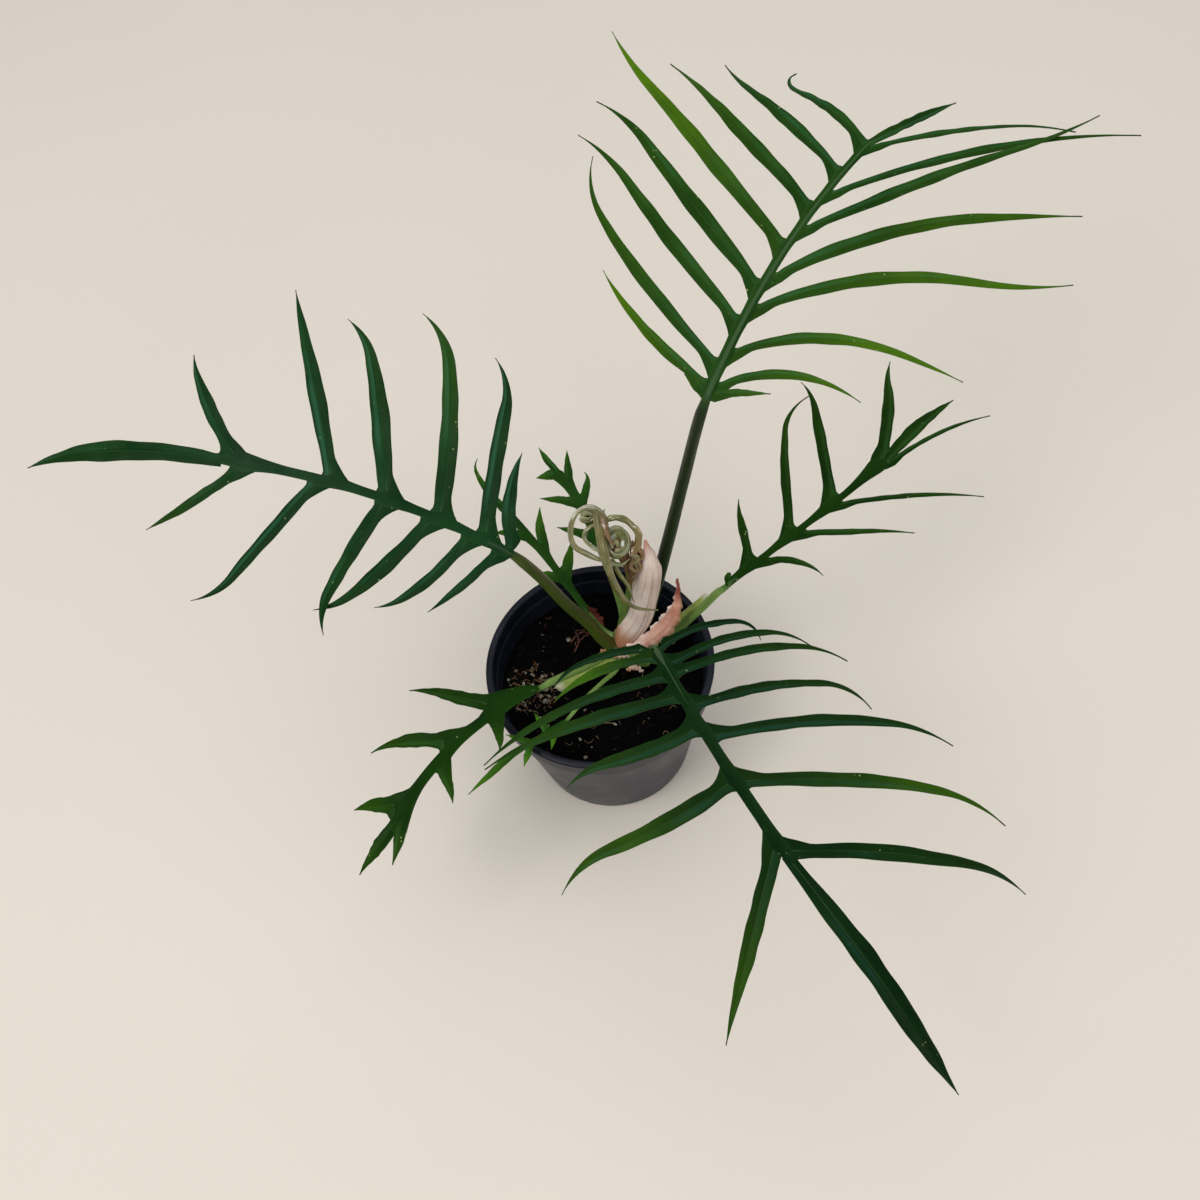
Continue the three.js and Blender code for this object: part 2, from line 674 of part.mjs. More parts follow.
function sheathSolid(leaf) {
  const { start, end, halfWidth, sink } = leaf.sheath;
  const curve = new THREE.CatmullRomCurve3(leaf.petiole.map(vec), false, 'centripetal');
  const middle = [];
  const halfWidths = [];
  for (let i = 0; i <= SHEATH_ROWS; i += 1) {
    const place = i / SHEATH_ROWS;
    middle.push(along(curve.getPointAt(lerp(start, end, place)), DOWN, sink));
    halfWidths.push(halfWidth * (i === SHEATH_ROWS ? SHEATH_END : 1 - SHEATH_NARROWING * place));
  }
  return troughSolid(middle, halfWidths, DOWN, SHEATH_ARC, BLADE);
}

function leafSolid(leaf) {
  const points = rachisPoints(leaf);
  const petiole = leaf.petiole.map(vec);
  const pieces = [bar(petiole, leaf.petioleRadius, petiole.length + 2, BAR_SIDES), rachisSolid(leaf, points)];
  if (leaf.sheath) pieces.push(sheathSolid(leaf));
  for (const [side, name] of [[LEFT, 'left'], [RIGHT, 'right']]) {
    for (const item of lobesOf(leaf[name])) {
      pieces.push(lobeSolid(leaf, points, item, side, leaf.edge));
    }
  }
  for (const [i, length] of (leaf.ears ?? []).entries()) {
    if (length === 0) continue;
    const ear = { station: EAR_STATION, length, width: EAR_WIDTH, angle: EAR_ANGLE, sweep: 0, hook: 0 };
    pieces.push(lobeSolid(leaf, points, ear, i === 0 ? LEFT : RIGHT, leaf.edge));
  }
  pieces.push(lobeSolid(leaf, points, { station: leaf.length, ...leaf.tip }, LEFT, 0));
  return fuse(pieces);
}

// Points round part of an ellipse in the leaning plane, sinking evenly from its start to its end
function loopPoints({ centre, across, along: slope, from, to, fall }) {
  const steps = Math.ceil(Math.abs(to - from) / LOOP_STEP);
  const points = [];
  for (let i = 0; i <= steps; i += 1) {
    const turn = degToRad(lerp(from, to, i / steps));
    const sideways = along(vec(centre), LOOP_SIDE, across * Math.cos(turn));
    const raised = along(sideways, LOOP_SLOPE, slope * Math.sin(turn));
    points.push(along(raised, LOOP_FACE, fall * (0.5 - i / steps)));
  }
  return points;
}

function ribbonSolid({ width, start, loop, end = [] }) {
  const points = [...start.map(vec), ...(loop ? loopPoints(loop) : []), ...end.map(vec)];
  const curve = new THREE.CatmullRomCurve3(points, false, 'centripetal');
  const segments = Math.round(curve.getLength() / RIBBON_SEGMENT);
  const rows = [];
  const normals = [];
  for (let i = 0; i <= segments; i += 1) {
    const fraction = i / segments;
    const direction = curve.getTangentAt(fraction);
    const normal = along(LOOP_FACE, direction, -LOOP_FACE.dot(direction)).normalize();
    const across = normal.clone().cross(direction).normalize();
    const swell = Math.sqrt(Math.sin(Math.PI * (RIBBON_SWELL_START + RIBBON_SWELL_SPAN * fraction)));
    const half = Math.max((width / 2) * swell, RIBBON_END_HALF_WIDTH);
    const centre = curve.getPointAt(fraction);
    const spot = (place) => along(
      along(centre, across, place * half),
      normal,
      -Math.abs(place) * RIBBON_CROWN * half,
    );
    rows.push([-1, 0, 1].map(spot));
    normals.push([normal, normal, normal]);
  }
  return sheet(rows, normals, RIBBON_THICKNESS);
}

function newLeafSolid() {
  const { petiole, petioleRadius, core, ribbons } = NEW_LEAF;
  const pieces = [bar(petiole.map(vec), petioleRadius, petiole.length + 1, BAR_SIDES)];
  pieces.push(bar(core.points.map(vec), core.radius, 1, BAR_SIDES));
  for (const ribbon of ribbons) pieces.push(ribbonSolid(ribbon));
  return fuse(pieces);
}

function potProfile() {
  const lipInner = LIP_RADIUS - LIP_WIDTH;
  return [
    [0, 0],
    [FOOT_RADIUS - FOOT_ROUND, 0],
    [FOOT_RADIUS, FOOT_ROUND],
    [WALL_TOP_RADIUS, BAND_FOOT - STEP_SLOPE],
    [BAND_RADIUS, BAND_FOOT],
    [BAND_RADIUS, POT_HEIGHT - LIP_DEPTH],
    [LIP_RADIUS, POT_HEIGHT - LIP_DEPTH],
    [LIP_RADIUS, POT_HEIGHT - EDGE_ROUND],
    [LIP_RADIUS - EDGE_ROUND, POT_HEIGHT],
    [lipInner + EDGE_ROUND, POT_HEIGHT],
    [lipInner, POT_HEIGHT - EDGE_ROUND],
    [lipInner, BAND_FOOT + STEP_SLOPE],
    [WALL_TOP_RADIUS - POT_WALL, BAND_FOOT],
    [FOOT_RADIUS - POT_WALL, FLOOR_THICKNESS],
    [0, FLOOR_THICKNESS],
  ];
}

function potSolid() {
  let pot = solidFromGeometry(turned(potProfile(), POT_SIDES));
  for (let i = 0; i < DRAIN_HOLES; i += 1) {
    const turn = (2 * Math.PI * i) / DRAIN_HOLES;
    const hole = new THREE.CylinderGeometry(DRAIN_RADIUS, DRAIN_RADIUS, FLOOR_THICKNESS * 3, DRAIN_SIDES);
    hole.rotateX(Math.PI / 2);
    hole.translate(DRAIN_CIRCLE * Math.cos(turn), DRAIN_CIRCLE * Math.sin(turn), FLOOR_THICKNESS / 2);
    pot = pot.subtract(solidFromGeometry(hole));
  }
  return pot;
}

// Radius of the soil where it leans against the pot's sloping wall
function soilRadius(height) {
  const share = (height - FLOOR_THICKNESS) / (BAND_FOOT - FLOOR_THICKNESS);
  return lerp(FOOT_RADIUS, WALL_TOP_RADIUS, share) - POT_WALL - SOIL_CLEARANCE;
}

// The soil's uneven surface: broad swells and finer ones, as a height about SOIL_LEVEL
function soilSwell(x, y) {
  const broad = Math.sin(x * BROAD_RATE[0] + 1) * Math.cos(y * BROAD_RATE[1] - 0.5);
  const first = Math.sin(x * FINE_RATE_FIRST[0] + y * FINE_RATE_FIRST[1]);
  const second = Math.sin(x * FINE_RATE_SECOND[0] + y * FINE_RATE_SECOND[1] + 2);
  return SOIL_RELIEF * lerp(first * second, broad, BROAD_SHARE) - SOIL_DROP;
}

function stemSolid(clearance) {
  const wide = STEM_RADIUS + clearance;
  const knuckles = STEM_KNUCKLES.map(([height, swelling]) => [wide + swelling, SOIL_LEVEL + height]);
  const profile = [
    [0, STEM_FOOT - clearance],
    [wide - STEM_FOOT_NARROWING, STEM_FOOT - clearance],
    [wide, STEM_FOOT + STEM_FOOT_TAPER],
    ...knuckles,
    [0, STEM_TOP + clearance],
  ];
  const geometry = turned(profile, STEM_SIDES);
  geometry.translate(STEM_PLACE[0], STEM_PLACE[1], 0);
  return solidFromGeometry(geometry);
}

// Coarse lumps of perlite and bark, scattered in patches and half sunk in the surface
function addLumps(soil) {
  const random = seededRandom(LUMP_SEED);
  let lumpy = soil;
  for (const { middle, count, radius, size } of SOIL_PATCHES) {
    for (let i = 0; i < count; i += 1) {
      const turn = random() * 2 * Math.PI;
      const reach = radius * Math.sqrt(random());
      const x = middle[0] + reach * Math.cos(turn);
      const y = middle[1] + reach * Math.sin(turn);
      const lump = new THREE.IcosahedronGeometry(size * (LUMP_LEAST + LUMP_VARIATION * random()), 0);
      lump.rotateZ(random() * Math.PI).scale(...LUMP_SHAPE);
      lump.translate(x, y, SOIL_LEVEL + soilSwell(x, y) + LUMP_RISE);
      lumpy = lumpy.add(solidFromGeometry(lump));
    }
  }
  return lumpy;
}

function soilSolid() {
  const foot = FLOOR_THICKNESS + GAP;
  const shoulder = SOIL_LEVEL - SOIL_SHOULDER;
  const edge = soilRadius(shoulder);
  const profile = [[0, foot], [soilRadius(foot), foot], [edge, shoulder]];
  for (let i = SOIL_RINGS; i >= 0; i -= 1) {
    profile.push([SOIL_FLAT_SHARE * edge * (i / SOIL_RINGS), SOIL_LEVEL]);
  }
  const geometry = turned(profile, SOIL_SIDES);
  const position = geometry.attributes.position;
  for (let i = 0; i < position.count; i += 1) {
    const [x, y, z] = [position.getX(i), position.getY(i), position.getZ(i)];
    if (z > shoulder + 1) position.setZ(i, z + soilSwell(x, y));
  }
  return addLumps(solidFromGeometry(geometry)).subtract(stemSolid(GAP));
}

const group = new THREE.Group();
const stemClearance = stemSolid(GAP);

group.add(meshFromSolid('pot', potSolid(), ...POT_FINISH));
group.add(meshFromSolid('soil', soilSolid(), ...SOIL_FINISH));
group.add(meshFromSolid('stem', stemSolid(0), ...STEM_FINISH));
for (const [name, leaf] of Object.entries(LEAVES)) {
  group.add(meshFromSolid(name, leafSolid(leaf).subtract(stemClearance), leaf.colour, LEAF_ROUGHNESS));
}
const newLeaf = newLeafSolid().subtract(stemClearance);
group.add(meshFromSolid('new_leaf', newLeaf, NEW_LEAF.colour, NEW_LEAF_ROUGHNESS));
for (const [name, sheath] of Object.entries(PAPERY)) {
  group.add(meshFromSolid(name, paperySolid(sheath).subtract(stemClearance), sheath.colour, PAPERY_ROUGHNESS));
}

export default group;
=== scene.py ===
"""Potted philodendron tortum: the looks of the plant, its pot and its soil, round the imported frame.

Shapes are worked out in millimetres, Z up, in the frame's own axes, and turned into metres last.
"""

from math import ceil, cos, pi, radians, sin

import bmesh
import bpy
import numpy as np
from mathutils import Matrix, Vector, noise


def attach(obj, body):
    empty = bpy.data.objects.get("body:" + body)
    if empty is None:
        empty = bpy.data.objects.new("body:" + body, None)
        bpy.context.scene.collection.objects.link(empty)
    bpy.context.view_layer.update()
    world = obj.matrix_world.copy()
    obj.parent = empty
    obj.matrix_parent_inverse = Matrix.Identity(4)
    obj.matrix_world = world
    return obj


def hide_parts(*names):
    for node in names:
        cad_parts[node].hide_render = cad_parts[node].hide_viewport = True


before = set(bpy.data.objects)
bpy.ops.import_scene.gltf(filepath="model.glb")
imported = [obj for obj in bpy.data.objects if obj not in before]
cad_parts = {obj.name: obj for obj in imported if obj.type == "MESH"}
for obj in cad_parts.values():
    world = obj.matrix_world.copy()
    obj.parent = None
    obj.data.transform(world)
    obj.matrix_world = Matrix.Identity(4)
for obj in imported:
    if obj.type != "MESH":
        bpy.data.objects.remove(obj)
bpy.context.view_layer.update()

MM = 0.001
SCENE = bpy.context.scene

# Camera: fitted to the pot's lip and foot in the photograph, in millimetres and degrees
CAMERA_PLACE = (5.7, -315.9, 658.8)
CAMERA_DOWN = 58.8
CAMERA_ROLL = -10.65
CAMERA_LENS = 42
CAMERA_SENSOR = 36
CAMERA_NEAREST = 10


def make_camera():
    down = radians(CAMERA_DOWN)
    roll = radians(CAMERA_ROLL)
    forward = Vector((0, cos(down), -sin(down)))
    level = Vector((1, 0, 0))
    upright = Vector((0, sin(down), cos(down)))
    right = cos(roll) * level + sin(roll) * upright
    up = cos(roll) * upright - sin(roll) * level
    data = bpy.data.cameras.new("camera")
    data.lens = CAMERA_LENS
    data.sensor_width = CAMERA_SENSOR
    data.clip_start = CAMERA_NEAREST * MM
    camera = bpy.data.objects.new("camera", data)
    turn = Matrix((right, up, -forward)).transposed().to_4x4()
    camera.matrix_world = Matrix.Translation(Vector(CAMERA_PLACE) * MM) @ turn
    SCENE.collection.objects.link(camera)
    SCENE.camera = camera


make_camera()


# Vectors, smooth curves and smooth runs of values

CURVE_STEPS = 24


def unit(vectors):
    return vectors / np.maximum(np.linalg.norm(vectors, axis=-1, keepdims=True), 1e-9)


def lerp(a, b, share):
    return a + (b - a) * share


def smoothstep(low, high, value):
    share = np.clip((value - low) / (high - low), 0, 1)
    return share * share * (3 - 2 * share)


def distances(points):
    """How far along its run each point lies."""
    return np.concatenate([[0], np.cumsum(np.linalg.norm(np.diff(points, axis=0), axis=1))])


def looked_up(places, known, points):
    """Points at the places, between points whose places are known."""
    return np.stack([np.interp(places, known, points[:, k]) for k in range(3)], 1)


def cubic(start, end, slope, end_slope, w):
    """A smooth run from a start to an end that leaves and arrives at the slopes."""
    square = 3 * end - 3 * start - 2 * slope - end_slope
    cube = 2 * start - 2 * end + slope + end_slope
    return start + slope * w + square * w ** 2 + cube * w ** 3


def smooth_path(points, count):
    """A centripetal curve through the points, as evenly spaced points."""
    p = np.asarray(points, float)
    ends = np.vstack([2 * p[0] - p[1], p, 2 * p[-1] - p[-2]])
    parts = []
    for i in range(len(p) - 1):
        x0, x1, x2, x3 = ends[i:i + 4]
        d0, d1, d2 = (np.linalg.norm(b - a) ** 0.5 for a, b in ((x0, x1), (x1, x2), (x2, x3)))
        t1 = ((x1 - x0) / d0 - (x2 - x0) / (d0 + d1) + (x2 - x1) / d1) * d1
        t2 = ((x2 - x1) / d1 - (x3 - x1) / (d1 + d2) + (x3 - x2) / d2) * d1
        parts.append(cubic(x1, x2, t1, t2, np.linspace(0, 1, CURVE_STEPS, endpoint=False)[:, None]))
    parts.append(p[-1:])
    points = np.vstack(parts)
    along = distances(points)
    return looked_up(np.linspace(0, along[-1], count), along, points)


def through(values, place):
    """A smooth run through values given at even places from the first to the last."""
    last = len(values) - 1
    if last == 0:
        return values[0]
    spot = last * min(max(place, 0), 1)
    i = min(int(spot), last - 1)
    v0, v1 = values[max(i - 1, 0)], values[i]
    v2, v3 = values[i + 1], values[min(i + 2, last)]
    return cubic(v1, v2, (v2 - v0) / 2, (v3 - v1) / 2, spot - i)


def flanks(directions, up):
    """The directions across a line and upward, at right angles to it and to each other."""
    normals = unit(up - directions * (directions @ up)[:, None])
    return np.cross(normals, directions), normals


def swept(line, across, reach, normals, lift):
    """A grid of points about a line, by their reach across it and their lift above it."""
    return line[:, None, :] + across[:, None, :] * reach[:, :, None] + normals[:, None, :] * lift[:, :, None]


def turned(first, second, angle):
    """Two directions at right angles, both turned from the first towards the second."""
    return first * np.cos(angle) + second * np.sin(angle), second * np.cos(angle) - first * np.sin(angle)


# Meshes: grids of points gathered into one object, with values that the materials read

VALUES = ("along", "across", "tint")
EDGE_SHARE = 0.35


class Maker:
    """Gathers grids of points in millimetres into one mesh."""

    def __init__(self):
        self.points = []
        self.faces = []
        self.slots = []
        self.values = {name: [] for name in VALUES}
        self.count = 0

    def add(self, points, faces, slot=0, **values):
        points = np.asarray(points, float).reshape(-1, 3)
        self.points.append(points)
        self.faces.extend([tuple(i + self.count for i in face) for face in faces])
        self.slots.extend([slot] * len(faces))
        for name in VALUES:
            value = np.asarray(values.get(name, 0), float).reshape(-1)
            self.values[name].append(np.broadcast_to(value, (len(points),)))
        self.count += len(points)

    def make(self, name, materials, sharp=50):
        mesh = bpy.data.meshes.new(name)
        mesh.from_pydata((np.vstack(self.points) * MM).tolist(), [], self.faces)
        for material in materials:
            mesh.materials.append(material)
        mesh.polygons.foreach_set("material_index", self.slots)
        mesh.polygons.foreach_set("use_smooth", [True] * len(mesh.polygons))
        for value_name, parts in self.values.items():
            layer = mesh.attributes.new(value_name, "FLOAT", "POINT")
            layer.data.foreach_set("value", np.concatenate(parts).astype(np.float32))
        mesh.validate()
        mesh.set_sharp_from_angle(angle=radians(sharp))
        piece = bpy.data.objects.new(name, mesh)
        SCENE.collection.objects.link(piece)
        return piece


def grid_faces(rows, columns, closed=False):
    faces = []
    wide = columns if closed else columns - 1
    for r in range(rows - 1):
        for c in range(wide):
            n = (c + 1) % columns
            faces.append((r * columns + c, (r + 1) * columns + c, (r + 1) * columns + n, r * columns + n))
    return faces


def cap_faces(rows, sides):
    """Fans over the two ends of a closed grid, about two middle points that follow it."""
    last, middle = (rows - 1) * sides, rows * sides
    faces = []
    for k in range(sides):
        n = (k + 1) % sides
        faces += [(k, n, middle), (last + n, last + k, middle + 1)]
    return faces


def add_sheet(maker, grid, thickness, slot, along, across, tint=0):
    """A thin closed sheet about a grid of points, thinning to its long edges.

    Along and tint are given for its rows and across for its columns.
    """
    rows, columns = grid.shape[:2]
    normals = unit(np.cross(np.gradient(grid, axis=0), np.gradient(grid, axis=1)))
    half = 0.5 * thickness * lerp(1, EDGE_SHARE, np.abs(np.linspace(-1, 1, columns)) ** 3)[None, :, None]
    points = np.vstack([(grid + normals * half).reshape(-1, 3), (grid - normals * half).reshape(-1, 3)])
    size = rows * columns
    faces = grid_faces(rows, columns)
    faces += [tuple(i + size for i in face[::-1]) for face in faces]
    for r in range(rows - 1):
        a, b = r * columns, (r + 1) * columns
        faces.append((a, a + size, b + size, b))
        a, b = a + columns - 1, b + columns - 1
        faces.append((b, b + size, a + size, a))
    last = (rows - 1) * columns
    for c in range(columns - 1):
        faces.append((c, c + 1, c + 1 + size, c + size))
        faces.append((last + c + 1, last + c, last + c + size, last + c + 1 + size))
    values = dict(along=np.reshape(along, (-1, 1)), across=across, tint=np.reshape(tint, (-1, 1)))
    for name, value in values.items():
        values[name] = np.tile(np.broadcast_to(value, (rows, columns)).reshape(-1), 2)
    maker.add(points, faces, slot, **values)


def path_frames(path, first):
    """Two side vectors at each point of a path, turning no more than they must."""
    tangents = unit(np.gradient(path, axis=0))
    side = unit(first - tangents[0] * np.dot(first, tangents[0]))
    sides = [side]
    for t in tangents[1:]:
        side = unit(side - t * np.dot(side, t))
        sides.append(side)
    sides = np.array(sides)
    return sides, np.cross(tangents, sides)


def add_tube(maker, path, radii, sides=16, slot=0, flat=1.0, first=(0, 0, 1), groove=0.0, tint=0):
    """A round bar along a path with closed ends, flattened and grooved along its upper side if asked."""
    sides_a, sides_b = path_frames(path, np.asarray(first, float))
    turn = np.linspace(0, 2 * pi, sides, endpoint=False)
    reach = 1 - groove * np.maximum(0, np.cos(turn)) ** 6
    rows = len(path)
    radii = np.broadcast_to(np.asarray(radii, float), (rows,))
    upward = (np.cos(turn) * reach)[None, :, None] * sides_a[:, None, :] * flat
    aside = (np.sin(turn) * reach)[None, :, None] * sides_b[:, None, :]
    grid = path[:, None, :] + radii[:, None, None] * (upward + aside)
    points = np.vstack([grid.reshape(-1, 3), path[:1], path[-1:]])
    faces = [face[::-1] for face in grid_faces(rows, sides, closed=True)] + cap_faces(rows, sides)
    tint = np.broadcast_to(np.asarray(tint, float), (rows,))
    maker.add(points, faces, slot, along=np.append(np.repeat(np.linspace(0, 1, rows), sides), [0, 1]),
              across=np.append(np.tile(np.cos(turn), rows), [0, 0]),
              tint=np.append(np.repeat(tint, sides), tint[[0, -1]]))


# Materials: colours are red, green and blue from 0 to 255, distances inside bumps are metres

NOISE_RANGE = (0.3, 0.7)
LEAF_SPECK = (150, 170, 110)
DRY_LEAF_TIP = (78, 60, 44)
PAPERY_SPOT = (70, 42, 34)


class Look:
    """A procedural material about one Principled shader."""

    def __init__(self, name, **inputs):
        self.material = bpy.data.materials.new(name)
        self.material.use_nodes = True
        self.nodes = self.material.node_tree.nodes
        self.links = self.material.node_tree.links
        self.shader = self.nodes["Principled BSDF"]
        for key, value in inputs.items():
            self.shader.inputs[key.replace("_", " ")].default_value = value
        self.place = self.node("ShaderNodeTexCoord").outputs["Object"]
        self.colour = None

    def node(self, kind, **settings):
        made = self.nodes.new(kind)
        for key, value in settings.items():
            setattr(made, key, value)
        return made

    def drive(self, socket, value):
        if isinstance(value, bpy.types.NodeSocket):
            self.links.new(value, socket)
        else:
            socket.default_value = value

    def plug(self, made, **values):
        """Gives a node's inputs, named with _ for a space, their values or the sockets that drive them."""
        for key, value in values.items():
            self.drive(made.inputs[key.replace("_", " ")], value)
        return made

    def value(self, name):
        return self.node("ShaderNodeAttribute", attribute_name=name).outputs["Fac"]

    def maths(self, operation, *values):
        made = self.node("ShaderNodeMath", operation=operation)
        for socket, value in zip(made.inputs, values):
            self.drive(socket, value)
        return made.outputs[0]

    def times(self, a, b):
        return self.maths("MULTIPLY", a, b)

    def span(self, value, low, high, to_low=0.0, to_high=1.0):
        """A value moved smoothly from one range to another."""
        made = self.node("ShaderNodeMapRange", interpolation_type="SMOOTHSTEP")
        self.plug(made, Value=value, From_Min=low, From_Max=high, To_Min=to_low, To_Max=to_high)
        return made.outputs["Result"]

    def spread(self, value, to_low=0.0, to_high=1.0):
        """A noise, which lies mostly about its middle, spread over a range."""
        return self.span(value, *NOISE_RANGE, to_low, to_high)

    def stretched(self, scale):
        made = self.plug(self.node("ShaderNodeMapping"), Vector=self.place, Scale=scale)
        return made.outputs["Vector"]

    def noise(self, scale, detail, rough, vector=None):
        made = self.node("ShaderNodeTexNoise")
        self.plug(made, Vector=vector or self.place, Scale=scale, Detail=detail, Roughness=rough)
        return made.outputs["Fac"]

    def streaks(self, across, along, rough=0.6, detail=3):
        """Noise drawn out along a surface: its rates over the surface's own across and along values."""
        made = self.node("ShaderNodeCombineXYZ")
        self.plug(made, X=self.times(self.value("across"), across), Y=self.times(self.value("along"), along))
        return self.noise(1, detail, rough, made.outputs[0])

    def cells(self, scale):
        made = self.plug(self.node("ShaderNodeTexVoronoi"), Vector=self.place, Scale=scale)
        return made.outputs["Distance"]

    def mix(self, share, a, b):
        made = self.node("ShaderNodeMix", data_type="RGBA")
        self.plug(made, Factor=share, A=rgba(a), B=rgba(b))
        return made.outputs["Result"]

    def bump(self, height, strength, distance, below=None):
        made = self.plug(self.node("ShaderNodeBump"), Strength=strength, Distance=distance, Height=height)
        if below is not None:
            self.plug(made, Normal=below)
        return made.outputs["Normal"]

    def coat(self, share, colour):
        """Lays a colour over those before it, by a share."""
        self.colour = self.mix(share, self.colour, colour)

    def finish(self, roughness, normal):
        self.plug(self.shader, Base_Color=self.colour, Roughness=roughness, Normal=normal)
        return self.material


def linear(level):
    return level / 12.92 if level <= 0.04045 else ((level + 0.055) / 1.055) ** 2.4


def rgba(colour):
    """A colour given as red, green and blue from 0 to 255 as the eye sees them, or a socket as it is."""
    if isinstance(colour, bpy.types.NodeSocket):
        return colour
    return tuple(linear(c / 255) for c in colour) + (1.0,)


def leaf_look(name, deep, fresh, painted_sheen, vein, young, pleats, sheen):
    """A leaf blade: painted shade on its half towards the foot, painted bluish sheen on its half towards the
    head, pleats, a midrib, a younger tint and specks.
    """
    look = Look(name, Specular_IOR_Level=0.05)
    along, across, tint = (look.value(v) for v in VALUES)
    out = look.maths("ABSOLUTE", across)
    look.colour = look.mix(look.span(look.noise(38, 4, 0.6), 0.3, 0.72), deep, fresh)
    look.coat(look.span(look.streaks(7, 2.5), 0.38, 0.75, 0.0, 0.55), fresh)
    # Painted shade: the half towards the leaf's foot darkened towards the deep colour
    look.coat(look.span(across, -0.04, -0.3, 0.0, 0.45), deep)
    # Painted sheen: the half towards the leaf's head lightened in clouds towards a bluish colour, standing in
    # for light the blade reflects
    half = look.times(look.span(across, 0.02, 0.3), look.span(out, 0.85, 0.5))
    cloud = look.span(look.noise(22, 3, 0.5), 0.38, 0.68, 0.05, 0.75)
    look.coat(look.times(half, cloud), painted_sheen)
    ridge = look.maths("COSINE", look.times(out, 2 * pi * pleats))
    look.coat(look.span(ridge, 0.3, 1, 0.0, 0.16), deep)
    young_share = look.times(tint, look.span(along, 0.1, 0.8, 0.15, 1.0))
    mottled = look.times(young_share, look.span(look.noise(60, 3, 0.6), 0.25, 0.7, 0.6, 1.0))
    look.coat(mottled, young)
    middle = look.times(look.span(out, 0.03, 0.13, 1.0, 0.0), look.span(along, 0.2, 0.95, 0.5, 0.1))
    look.coat(middle, vein)
    look.coat(look.span(out, 0.95, 1.0, 0.0, 0.4), vein)
    rare = look.span(look.noise(170, 2, 0.5), 0.62, 0.7)
    look.coat(look.times(look.span(look.cells(420), 0.12, 0.2, 0.7, 0.0), rare), LEAF_SPECK)
    look.coat(look.span(along, 0.972, 0.995, 0.0, 0.75), DRY_LEAF_TIP)
    veins = look.bump(look.streaks(22, 3, 0.5, 2), 0.3, 0.0002)
    normal = look.bump(look.noise(700, 2, 0.5), 0.12, 0.0001, veins)
    return look.finish(look.spread(look.noise(90, 3, 0.6), sheen, sheen + 0.14), normal)


def stalk_look(name, base, pale, ruddy, ruddy_share, rib):
    """A stalk: lengthwise streaks, paler at its foot, brownish above, and the rib's green on the blade."""
    look = Look(name, Specular_IOR_Level=0.2)
    streaks = look.streaks(7, 9)
    look.colour = look.mix(look.spread(streaks, 0.0, 0.6), base, pale)
    look.coat(look.span(look.value("along"), 0.0, 0.16, 0.65, 0.0), pale)
    upper = look.times(look.span(look.value("across"), 0.1, 0.9), ruddy_share)
    look.coat(look.times(upper, look.span(streaks, 0.2, 0.6, 0.5, 1.0)), ruddy)
    look.coat(look.span(look.cells(600), 0.1, 0.18, 0.35, 0.0), pale)
    ribbed = look.mix(look.spread(streaks, 0.0, 0.5), rib, [0.8 * level for level in rib])
    look.coat(look.value("tint"), ribbed)
    normal = look.bump(look.noise(500, 2, 0.5), 0.1, 0.0001, look.bump(streaks, 0.3, 0.0003))
    return look.finish(look.spread(look.noise(150, 3, 0.6), 0.36, 0.52), normal)


def papery_look(name, cream, rosy, vein, tip, tip_from, foot, foot_to, left_edge, right_edge):
    """A dry sheath: parallel brown-pink veins over cream, its foot, edges and tip each of another tint."""
    look = Look(name, Specular_IOR_Level=0.3, Subsurface_Weight=0.12, Subsurface_Scale=0.002)
    blotch = look.noise(70, 4, 0.6)
    lines = look.streaks(8.5, 1.2)
    look.colour = look.mix(look.spread(blotch), cream, rosy)
    look.coat(look.span(lines, 0.5, 0.68, 0.0, 0.7), vein)
    uneven = look.times(look.maths("SUBTRACT", blotch, 0.5), 0.7)
    side = look.maths("ADD", look.value("across"), uneven)
    look.coat(look.span(side, 0.45, 0.95, 0.0, 0.85), left_edge)
    look.coat(look.span(side, -0.45, -0.95, 0.0, 0.8), right_edge)
    length = look.maths("ADD", look.value("along"), look.times(uneven, 0.4))
    look.coat(look.span(length, tip_from, tip_from + 0.22), tip)
    look.coat(look.span(length, foot_to, foot_to * 0.3, 0.0, 0.85), foot)
    spots = look.times(look.span(look.cells(260), 0.06, 0.12, 0.8, 0.0), look.span(blotch, 0.58, 0.62))
    look.coat(spots, PAPERY_SPOT)
    normal = look.bump(look.noise(420, 4, 0.7), 0.3, 0.0003, look.bump(lines, 0.7, 0.0006))
    return look.finish(look.spread(blotch, 0.42, 0.62), normal)


def rolled_look():
    """The unopened leaf: glossy olive-tan ribbons with greener streaks, some of them browned."""
    look = Look("rolled_leaf", Specular_IOR_Level=0.4, Coat_Weight=1.0, Coat_Roughness=0.05,
                Subsurface_Weight=0.1, Subsurface_Scale=0.002)
    _, across, tint = (look.value(v) for v in VALUES)
    blotch = look.noise(160, 4, 0.6)
    streaks = look.streaks(4, 6, 0.5)
    look.colour = look.mix(look.spread(blotch), (128, 124, 66), (88, 96, 42))
    look.coat(look.span(streaks, 0.42, 0.66, 0.0, 0.8), (58, 72, 26))
    look.coat(look.span(look.maths("ABSOLUTE", across), 0.7, 1.0, 0.0, 0.6), (166, 158, 110))
    look.coat(look.times(tint, look.span(blotch, 0.25, 0.55, 0.5, 1.0)), (118, 80, 46))
    normal = look.bump(look.noise(400, 3, 0.6), 0.15, 0.0002, look.bump(streaks, 0.35, 0.0004))
    return look.finish(look.spread(blotch, 0.16, 0.3), normal)


def withered_look():
    look = Look("withered_bract", Specular_IOR_Level=0.4)
    blotch = look.noise(210, 5, 0.7)
    lines = look.streaks(8, 2)
    look.colour = look.mix(look.spread(blotch), (112, 44, 26), (72, 28, 20))
    look.coat(look.span(lines, 0.5, 0.7, 0.0, 0.6), (150, 74, 44))
    normal = look.bump(look.noise(600, 5, 0.7), 0.5, 0.0004, look.bump(lines, 0.8, 0.0006))
    return look.finish(look.spread(blotch, 0.4, 0.62), normal)


